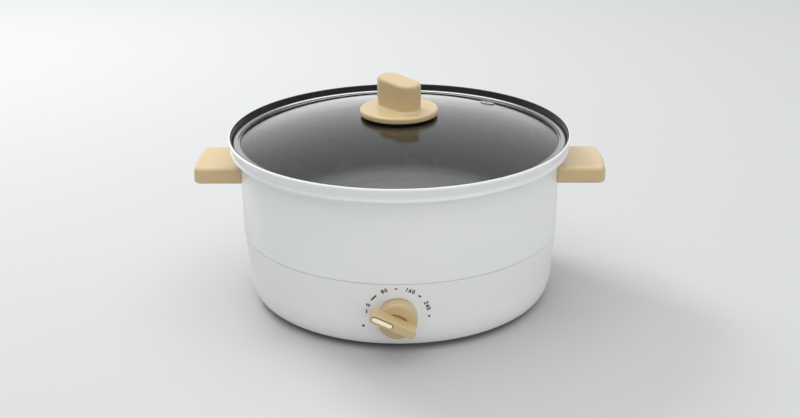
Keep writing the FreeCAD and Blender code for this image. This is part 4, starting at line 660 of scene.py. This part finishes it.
def close(piece, ring=False):
    """Joins a ring's first and last circle, or caps both ends with fans, and turns faces outwards."""
    bpy.ops.object.mode_set(mode="EDIT")
    bpy.context.tool_settings.mesh_select_mode = (False, True, False)
    open_edges()
    if ring:
        bpy.ops.mesh.bridge_edge_loops()
    else:
        bpy.ops.mesh.fill_holes(sides=0)
        bpy.context.tool_settings.mesh_select_mode = (False, False, True)
        bpy.ops.mesh.poke()
    bpy.ops.mesh.select_all(action="SELECT")
    bpy.ops.mesh.remove_doubles(threshold=MERGE)
    bpy.ops.mesh.normals_make_consistent(inside=False)
    bpy.ops.object.mode_set(mode="OBJECT")
    return piece


print("turned pieces have", ROUND_STEPS, "sides")

# %% [markdown]
# The rest of the helpers are what every piece needs: choosing vertices or edges by their place,
# applying a modifier, and handing the finished piece in. A piece that is handed in gets its name,
# its smooth shading, its finish and the body that it moves with.

# %% Picking, modifiers and handing in
SMOOTH = math.radians(32)


def pick(piece, test, kind="VERT"):
    """Goes to edit mode with only those vertices or edges selected whose ends all pass the test."""
    bpy.ops.object.mode_set(mode="EDIT")
    bpy.ops.mesh.select_mode(type=kind)
    bpy.ops.mesh.select_all(action="DESELECT")
    bpy.ops.object.mode_set(mode="OBJECT")
    mesh = piece.data
    items = mesh.vertices if kind == "VERT" else mesh.edges
    for item in items:
        ends = [item.co] if kind == "VERT" else [mesh.vertices[number].co for number in item.vertices]
        item.select = all(test(end) for end in ends)
    bpy.ops.object.mode_set(mode="EDIT")


def apply_modifier(piece, kind, **settings):
    """Adds a modifier, sets it and applies it."""
    bpy.context.view_layer.objects.active = piece
    modifier = piece.modifiers.new(kind.title(), kind)
    for name, setting in settings.items():
        setattr(modifier, name, setting)
    bpy.ops.object.modifier_apply(modifier=modifier.name)


def hand_in(piece, name, body, finish, replaced=()):
    """Names, smooths and dresses a finished piece, and hangs it on its body."""
    start_clean()
    piece.select_set(True)
    bpy.context.view_layer.objects.active = piece
    bpy.ops.object.transform_apply(location=True, rotation=True, scale=True)
    bpy.ops.object.shade_smooth_by_angle(angle=SMOOTH)
    piece.name = name
    piece.data.name = name
    piece.data.materials.clear()
    piece.data.materials.append(finish)
    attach(piece, body)
    if replaced:
        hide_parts(*replaced)
    print(name, "has", len(piece.data.polygons), "faces")


print("edges sharper than", round(math.degrees(SMOOTH)), "degrees stay sharp")

# %% [markdown]
# ## The pot
#
# The pot is die-cast aluminium, white outside and coated dark inside, and the two coats meet on the
# top of the lip. Two pieces say that better than one piece with a painted border: a thick white
# wall, and the coat as a thin skin of its own that lies in it and folds over the lip. The wall's
# outline is closed, up the outside and down the inside, so that it has real thickness everywhere.

# %% The pot's levels
pot_low, pot_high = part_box("pot_body")
RIM = pot_high.y / MM
RIM_Z = pot_high.z / MM
UNDER_Z = pot_low.z / MM
SHELL, WALL, SEAT_LEDGE, BOTTOM_WALL = 140.4, 3.0, 2.2, 3.5
SEAT, INNER = SHELL - SEAT_LEDGE, SHELL - WALL
SEAT_Z = 64.1
FLOOR_Z = UNDER_Z + BOTTOM_WALL
FLARE_HEIGHT, SHOULDER_OUT, SHOULDER_UP, FLARE_WALL, LIP_WALL = 17.2, 7.6, 6.2, 2.2, 2.4
CREASE_Z = RIM_Z - FLARE_HEIGHT
SHOULDER, SHOULDER_Z = SHELL + SHOULDER_OUT, CREASE_Z + SHOULDER_UP
INNER_SHOULDER = SHOULDER - FLARE_WALL
INNER_LIP = RIM - LIP_WALL
INNER_LIP_ROUND, OUTER_LIP_ROUND, LIP_HEIGHT = 0.9, 1.5, 2.4
BELLY_ROUND, INNER_BELLY_ROUND, FLARE_ROUND, CREASE_ROUND = 13, 16, 4, 2
RIDGE_OUT, RIDGE_DOWN, RIDGE_ROUND = 1.2, 0.6, 1.2
WAIST_IN, WAIST_UP, SEAT_ROUND = 1.0, 2.0, 0.4
COAT = 0.12
MIDDLE = 12.0
JUST_OVER = 1.01
print("rim", round(RIM, 2), "at", round(RIM_Z, 2), "underside at", round(UNDER_Z, 2))


# %% Wall
def pot_inside(off):
    """Corners of the pot's inner face from the lip down, moved into the wall by an offset."""
    return [
        (INNER_LIP + off, RIM_Z - off, INNER_LIP_ROUND),
        (INNER_SHOULDER + off, SHOULDER_Z, FLARE_ROUND),
        (INNER + off, CREASE_Z, FLARE_ROUND),
        (INNER + off, FLOOR_Z - off, INNER_BELLY_ROUND),
        (MIDDLE, FLOOR_Z - off),
    ]


wall = turn(rounded(
    (MIDDLE, UNDER_Z),
    (SEAT, UNDER_Z, BELLY_ROUND),
    (SEAT, SEAT_Z),
    (SHELL, SEAT_Z, SEAT_ROUND),
    (SHELL, CREASE_Z, CREASE_ROUND),
    (SHOULDER + RIDGE_OUT, SHOULDER_Z - RIDGE_DOWN, RIDGE_ROUND),
    (SHOULDER - WAIST_IN, SHOULDER_Z + WAIST_UP, CREASE_ROUND),
    (RIM, RIM_Z - LIP_HEIGHT, CREASE_ROUND),
    (RIM, RIM_Z - COAT, OUTER_LIP_ROUND),
    *pot_inside(COAT),
))
close(wall)
print("the wall's outline rises", round(RIM_Z - UNDER_Z, 1), "mm")

# %% [markdown]
# The lining is turned as an open skin. Its small hole in the middle is closed by one face, its
# normals are turned inwards, towards the food, and a modifier gives it the thickness of the coat.

# %% Lining
coat_edge = (RIM - OUTER_LIP_ROUND, RIM_Z)
lining = turn(rounded(coat_edge, *pot_inside(0)))
pick(lining, lambda spot: spot.xy.length < MIDDLE * MM * JUST_OVER, "EDGE")
bpy.ops.mesh.fill_holes(sides=0)
bpy.ops.mesh.select_all(action="SELECT")
bpy.ops.mesh.normals_make_consistent(inside=True)
bpy.ops.object.mode_set(mode="OBJECT")
apply_modifier(lining, "SOLIDIFY", thickness=COAT * MM, offset=-1)
print("the lining is", COAT, "mm thick")

# %% [markdown]
# Each handle is screwed to a lug that is cast on the wall. The lugs are small blocks, bevelled and
# joined to the wall, and the handles hide them.

# %% Lugs
LUG_LENGTH, LUG_WIDTH, LUG_THICKNESS = mm(15.5, 30, 6)
LUG_SINK, LUG_BEVEL, BEVEL_STEPS = 0.0015, 0.0008, 3
HANDLE_DROP, HANDLE_THICKNESS = 24.9, 15.1
LUG_X = SHELL * MM - LUG_SINK + LUG_LENGTH / 2
LUG_Z = (RIM_Z - HANDLE_DROP - HANDLE_THICKNESS / 2) * MM
lugs = []
for side in (1, -1):
    start_clean()
    bpy.ops.mesh.primitive_cube_add(size=1, location=(side * LUG_X, 0, LUG_Z))
    lug = bpy.context.object
    lug.scale = (LUG_LENGTH, LUG_WIDTH, LUG_THICKNESS)
    bpy.ops.object.transform_apply(location=True, rotation=True, scale=True)
    apply_modifier(lug, "BEVEL", width=LUG_BEVEL, segments=BEVEL_STEPS)
    lugs.append(lug)
start_clean()
for piece in (wall, *lugs):
    piece.select_set(True)
bpy.context.view_layer.objects.active = wall
bpy.ops.object.join()
hand_in(wall, "pot_wall", "base", white_enamel, ["pot_body"])
hand_in(lining, "pot_lining", "base", lining_coat)

# %% [markdown]
# ## The lid's glass
#
# The glass is a piece of a sphere, blown thin and tempered. Its outline follows two arcs with the
# same centre, and the hole for the steam eyelet is cut afterwards with a small cylinder, as a drill
# would. The outline needs many points: glass shows the slightest facet in its reflections.

# %% Glass
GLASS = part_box("lid_glass")[1].x
PANE, GLASS_RISE = 4.0, 21.1 * MM
BEAD_DROP, APEX_OVER_BEAD = 4.7, 19.5
APEX_Z = (RIM_Z - BEAD_DROP + APEX_OVER_BEAD) * MM
DOME = (GLASS ** 2 + GLASS_RISE ** 2) / (2 * GLASS_RISE)
DOME_Z = APEX_Z - DOME
GLASS_RINGS = 40
KNOB_BORE, VENT = mm(3.5, 107.3)
VENT_ANGLE = math.radians(41)
VENT_BORE, DRILL_LENGTH, DRILL_STEPS = 0.0043, 0.02, 48


def glass_height(radius, depth=0.0):
    """Height of the glass at a radius, on its outer face or this far under it."""
    return DOME_Z + math.sqrt((DOME - depth) ** 2 - radius ** 2)


def glass_arc(depth):
    """Points of one face of the glass from the knob's hole outwards."""
    steps = [KNOB_BORE + (GLASS - KNOB_BORE) * ring / GLASS_RINGS for ring in range(GLASS_RINGS + 1)]
    return [Vector((radius, glass_height(radius, depth))) for radius in steps]


pane = close(turn(glass_arc(0) + glass_arc(PANE * MM)[::-1]), ring=True)
vent = Vector((VENT * math.cos(VENT_ANGLE), VENT * math.sin(VENT_ANGLE), glass_height(VENT)))
start_clean()
bpy.ops.mesh.primitive_cylinder_add(
    vertices=DRILL_STEPS, radius=VENT_BORE, depth=DRILL_LENGTH, location=vent
)
drill = bpy.context.object
drill.rotation_euler = (vent - Vector((0, 0, DOME_Z))).to_track_quat("Z", "Y").to_euler()
apply_modifier(pane, "BOOLEAN", operation="DIFFERENCE", object=drill)
bpy.data.objects.remove(drill)
hand_in(pane, "lid_pane", "lid", glass, ["lid_glass"])

# %% [markdown]
# ## The lid's steel rim
#
# A strip of polished steel is rolled round the glass: a channel that grips the edge, and a bead that
# rests in the pot's flare. It is one closed ring outline, turned and bridged onto itself.

# %% Steel rim
BEAD_OUT, BEAD_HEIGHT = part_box("lid_rim")[1].x / MM, 3.0
BEAD_LOW = RIM_Z - BEAD_DROP - BEAD_HEIGHT
SHEET, BED, STEP, LAP = 0.8, 0.1, 0.2, 2.4
EDGE = GLASS / MM
REACH = EDGE - LAP
WEB = EDGE + BED + SHEET
FOLD_ROUND, WEB_ROUND, BEAD_ROUND, TOP_ROUND = 0.3, 0.6, 1.3, 0.4
BAND_STEPS = 256


def level(radius, depth=0.0):
    """The glass's height in millimetres at a radius in millimetres."""
    return glass_height(radius * MM, depth * MM) / MM


steel = turn(rounded(
    (REACH, level(REACH, PANE) - BED - SHEET, FOLD_ROUND),
    (WEB, level(EDGE, PANE) - BED - SHEET, WEB_ROUND),
    (WEB, BEAD_LOW),
    (BEAD_OUT, BEAD_LOW, BEAD_ROUND),
    (BEAD_OUT, BEAD_LOW + BEAD_HEIGHT, BEAD_ROUND),
    (WEB - STEP, BEAD_LOW + BEAD_HEIGHT, WEB_ROUND),
    (EDGE + BED - STEP, level(EDGE) + BED + SHEET, TOP_ROUND),
    (REACH, level(REACH) + BED + SHEET, FOLD_ROUND),
    (REACH, level(REACH) + BED),
    (EDGE + BED, level(EDGE) + BED),
    (EDGE + BED, level(EDGE, PANE) - BED),
    (REACH, level(REACH, PANE) - BED),
), BAND_STEPS)
close(steel, ring=True)
hand_in(steel, "lid_band", "lid", rim_steel, ["lid_rim"])

# %% [markdown]
# ## Printed marks
#
# The scale round the dial is pad-printed on the skirt: a film of ink that follows its curve. Dashes
# and dots start as grids and circles, numbers as text that is made a mesh at once. All of them stand
# flat in front of the skirt first, are pressed onto it by a shrinkwrap, and get the thickness of ink.

# %% One mark
DIAL_Z = 34.3 * MM
SCALE_RADIUS = 25.5 * MM
STAND_OFF = -0.165
INK = 0.00009
DASH_STEP, DASH_ROWS, FEWEST_COLUMNS, DOT_STEPS = 0.0006, 3, 4, 32
NUMBER_SIZE, NUMBER_SPACING, NUMBER_CUTS = 0.0048, 1.22, 4
STROKE = NUMBER_SIZE * 0.030
TO_FRONT = Matrix.Rotation(math.pi / 2, 4, "X")


def on_scale(angle, radius=SCALE_RADIUS):
    """The place at an angle round the dial, with a mark's up pointing away from the dial."""
    turned_by = math.radians(angle)
    spot = Vector((radius * math.cos(turned_by), STAND_OFF, DIAL_Z + radius * math.sin(turned_by)))
    return Matrix.Translation(spot) @ TO_FRONT @ Matrix.Rotation(turned_by - math.pi / 2, 4, "Z")


def dash(angle, length, width):
    """A printed dash across the scale at an angle."""
    start_clean()
    columns = max(FEWEST_COLUMNS, round(length / DASH_STEP))
    bpy.ops.mesh.primitive_grid_add(x_subdivisions=columns, y_subdivisions=DASH_ROWS, size=1)
    mark = bpy.context.object
    mark.scale = (length, width, 1)
    bpy.ops.object.transform_apply(scale=True)
    mark.matrix_world = on_scale(angle)
    return mark


def dot(angle, size, radius=SCALE_RADIUS):
    """A printed dot at an angle."""
    start_clean()
    bpy.ops.mesh.primitive_circle_add(vertices=DOT_STEPS, radius=size / 2, fill_type="TRIFAN")
    mark = bpy.context.object
    mark.matrix_world = on_scale(angle, radius)
    return mark


def number(angle, text):
    """A printed number at an angle, made a mesh and divided so that it can follow the skirt."""
    start_clean()
    bpy.ops.object.text_add()
    mark = bpy.context.object
    mark.data.body = text
    mark.data.size = NUMBER_SIZE
    mark.data.align_x = "CENTER"
    mark.data.align_y = "CENTER"
    mark.data.offset = STROKE
    mark.data.space_character = NUMBER_SPACING
    bpy.ops.object.convert(target="MESH")
    bpy.ops.object.mode_set(mode="EDIT")
    bpy.ops.mesh.select_all(action="SELECT")
    bpy.ops.mesh.subdivide(number_cuts=NUMBER_CUTS)
    bpy.ops.object.mode_set(mode="OBJECT")
    mark = bpy.context.object
    mark.matrix_world = on_scale(angle)
    return mark


print("scale radius", round(SCALE_RADIUS / MM, 1), "mm, numbers", round(NUMBER_SIZE / MM, 1), "mm high")

# %% [markdown]
# The marks go round clockwise from the lower left, so their angles fall. A mark's angle is in
# degrees from the right, and its length and width are in metres. The first dot stands a little
# further out than the rest.

# %% The scale
FIRST_DOT_RADIUS = 0.0298
marks = [
    dash(172, 0.0035, 0.0010),
    number(158, "0"),
    dash(139, 0.0061, 0.0013),
    number(114.5, "80"),
    dash(92.5, 0.0023, 0.0010),
    number(66.5, "160"),
    dash(45.5, 0.0022, 0.0015),
    number(20.5, "240"),
    dot(-1.5, 0.0019),
    dot(199.5, 0.0022, FIRST_DOT_RADIUS),
]
start_clean()
for mark in marks:
    mark.select_set(True)
bpy.context.view_layer.objects.active = marks[0]
bpy.ops.object.join()
print_film = bpy.context.object
bpy.ops.object.transform_apply(location=True, rotation=True, scale=True)
apply_modifier(
    print_film,
    "SHRINKWRAP",
    target=nodes["base_housing"],
    wrap_method="PROJECT",
    use_project_y=True,
    use_positive_direction=True,
    use_negative_direction=False,
    wrap_mode="ABOVE_SURFACE",
    offset=INK / 2,
)
apply_modifier(print_film, "SOLIDIFY", thickness=INK, offset=1)
hand_in(print_film, "dial_marks", "base", mark_ink)

# %% [markdown]
# ## The painted shadow round the window
#
# The pale window sits a little loose in its slot. The dark ring round it is painted shadow: it
# stands for the shade in the gap, widest along the upper side, where the slot's wall throws its
# shadow. The ring is a stadium, which starts as a circle whose right half is moved along, and its
# middle is taken out by an inset.

# %% Painted shadow round the window
BAR_REACH, BAR_END, WINDOW = 24.0, 1.5, 18.7
WINDOW_MIDDLE = (BAR_REACH - BAR_END - WINDOW / 2) * MM
WINDOW_LENGTH, WINDOW_WIDTH, GAP, SHADOW, GAP_DEPTH = mm(WINDOW, 4.8, 0.5, 0.3, 0.2)
STRETCH = WINDOW_LENGTH - WINDOW_WIDTH
WINDOW_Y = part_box("dial_window")[0].y
GAP_STEPS = 48
HAIR = 1e-6
POINTER = math.radians(154.5)

start_clean()
bpy.ops.mesh.primitive_circle_add(vertices=GAP_STEPS, radius=WINDOW_WIDTH / 2, fill_type="NGON")
shadow_ring = bpy.context.object
pick(shadow_ring, lambda spot: spot.x > -HAIR)
bpy.ops.transform.translate(value=(STRETCH, 0, 0))
bpy.ops.mesh.select_mode(type="FACE")
bpy.ops.mesh.select_all(action="SELECT")
bpy.ops.mesh.inset(thickness=GAP)
# the opening moves down, so the painted shadow is widest along the upper side
bpy.ops.transform.translate(value=(0, SHADOW, 0))
bpy.ops.mesh.delete(type="FACE")
bpy.ops.object.mode_set(mode="OBJECT")
apply_modifier(shadow_ring, "SOLIDIFY", thickness=GAP_DEPTH, offset=1)
shadow_ring.matrix_world = (
    Matrix.Translation((0, WINDOW_Y, DIAL_Z))
    @ TO_FRONT
    @ Matrix.Rotation(POINTER, 4, "Z")
    @ Matrix.Translation((WINDOW_MIDDLE - STRETCH / 2, 0, 0))
)
# the ring is painted shadow: a dark piece where the gap round the window lies in shade
hand_in(shadow_ring, "window_painted_shadow", "dial", painted_gap_shadow)

# %% [markdown]
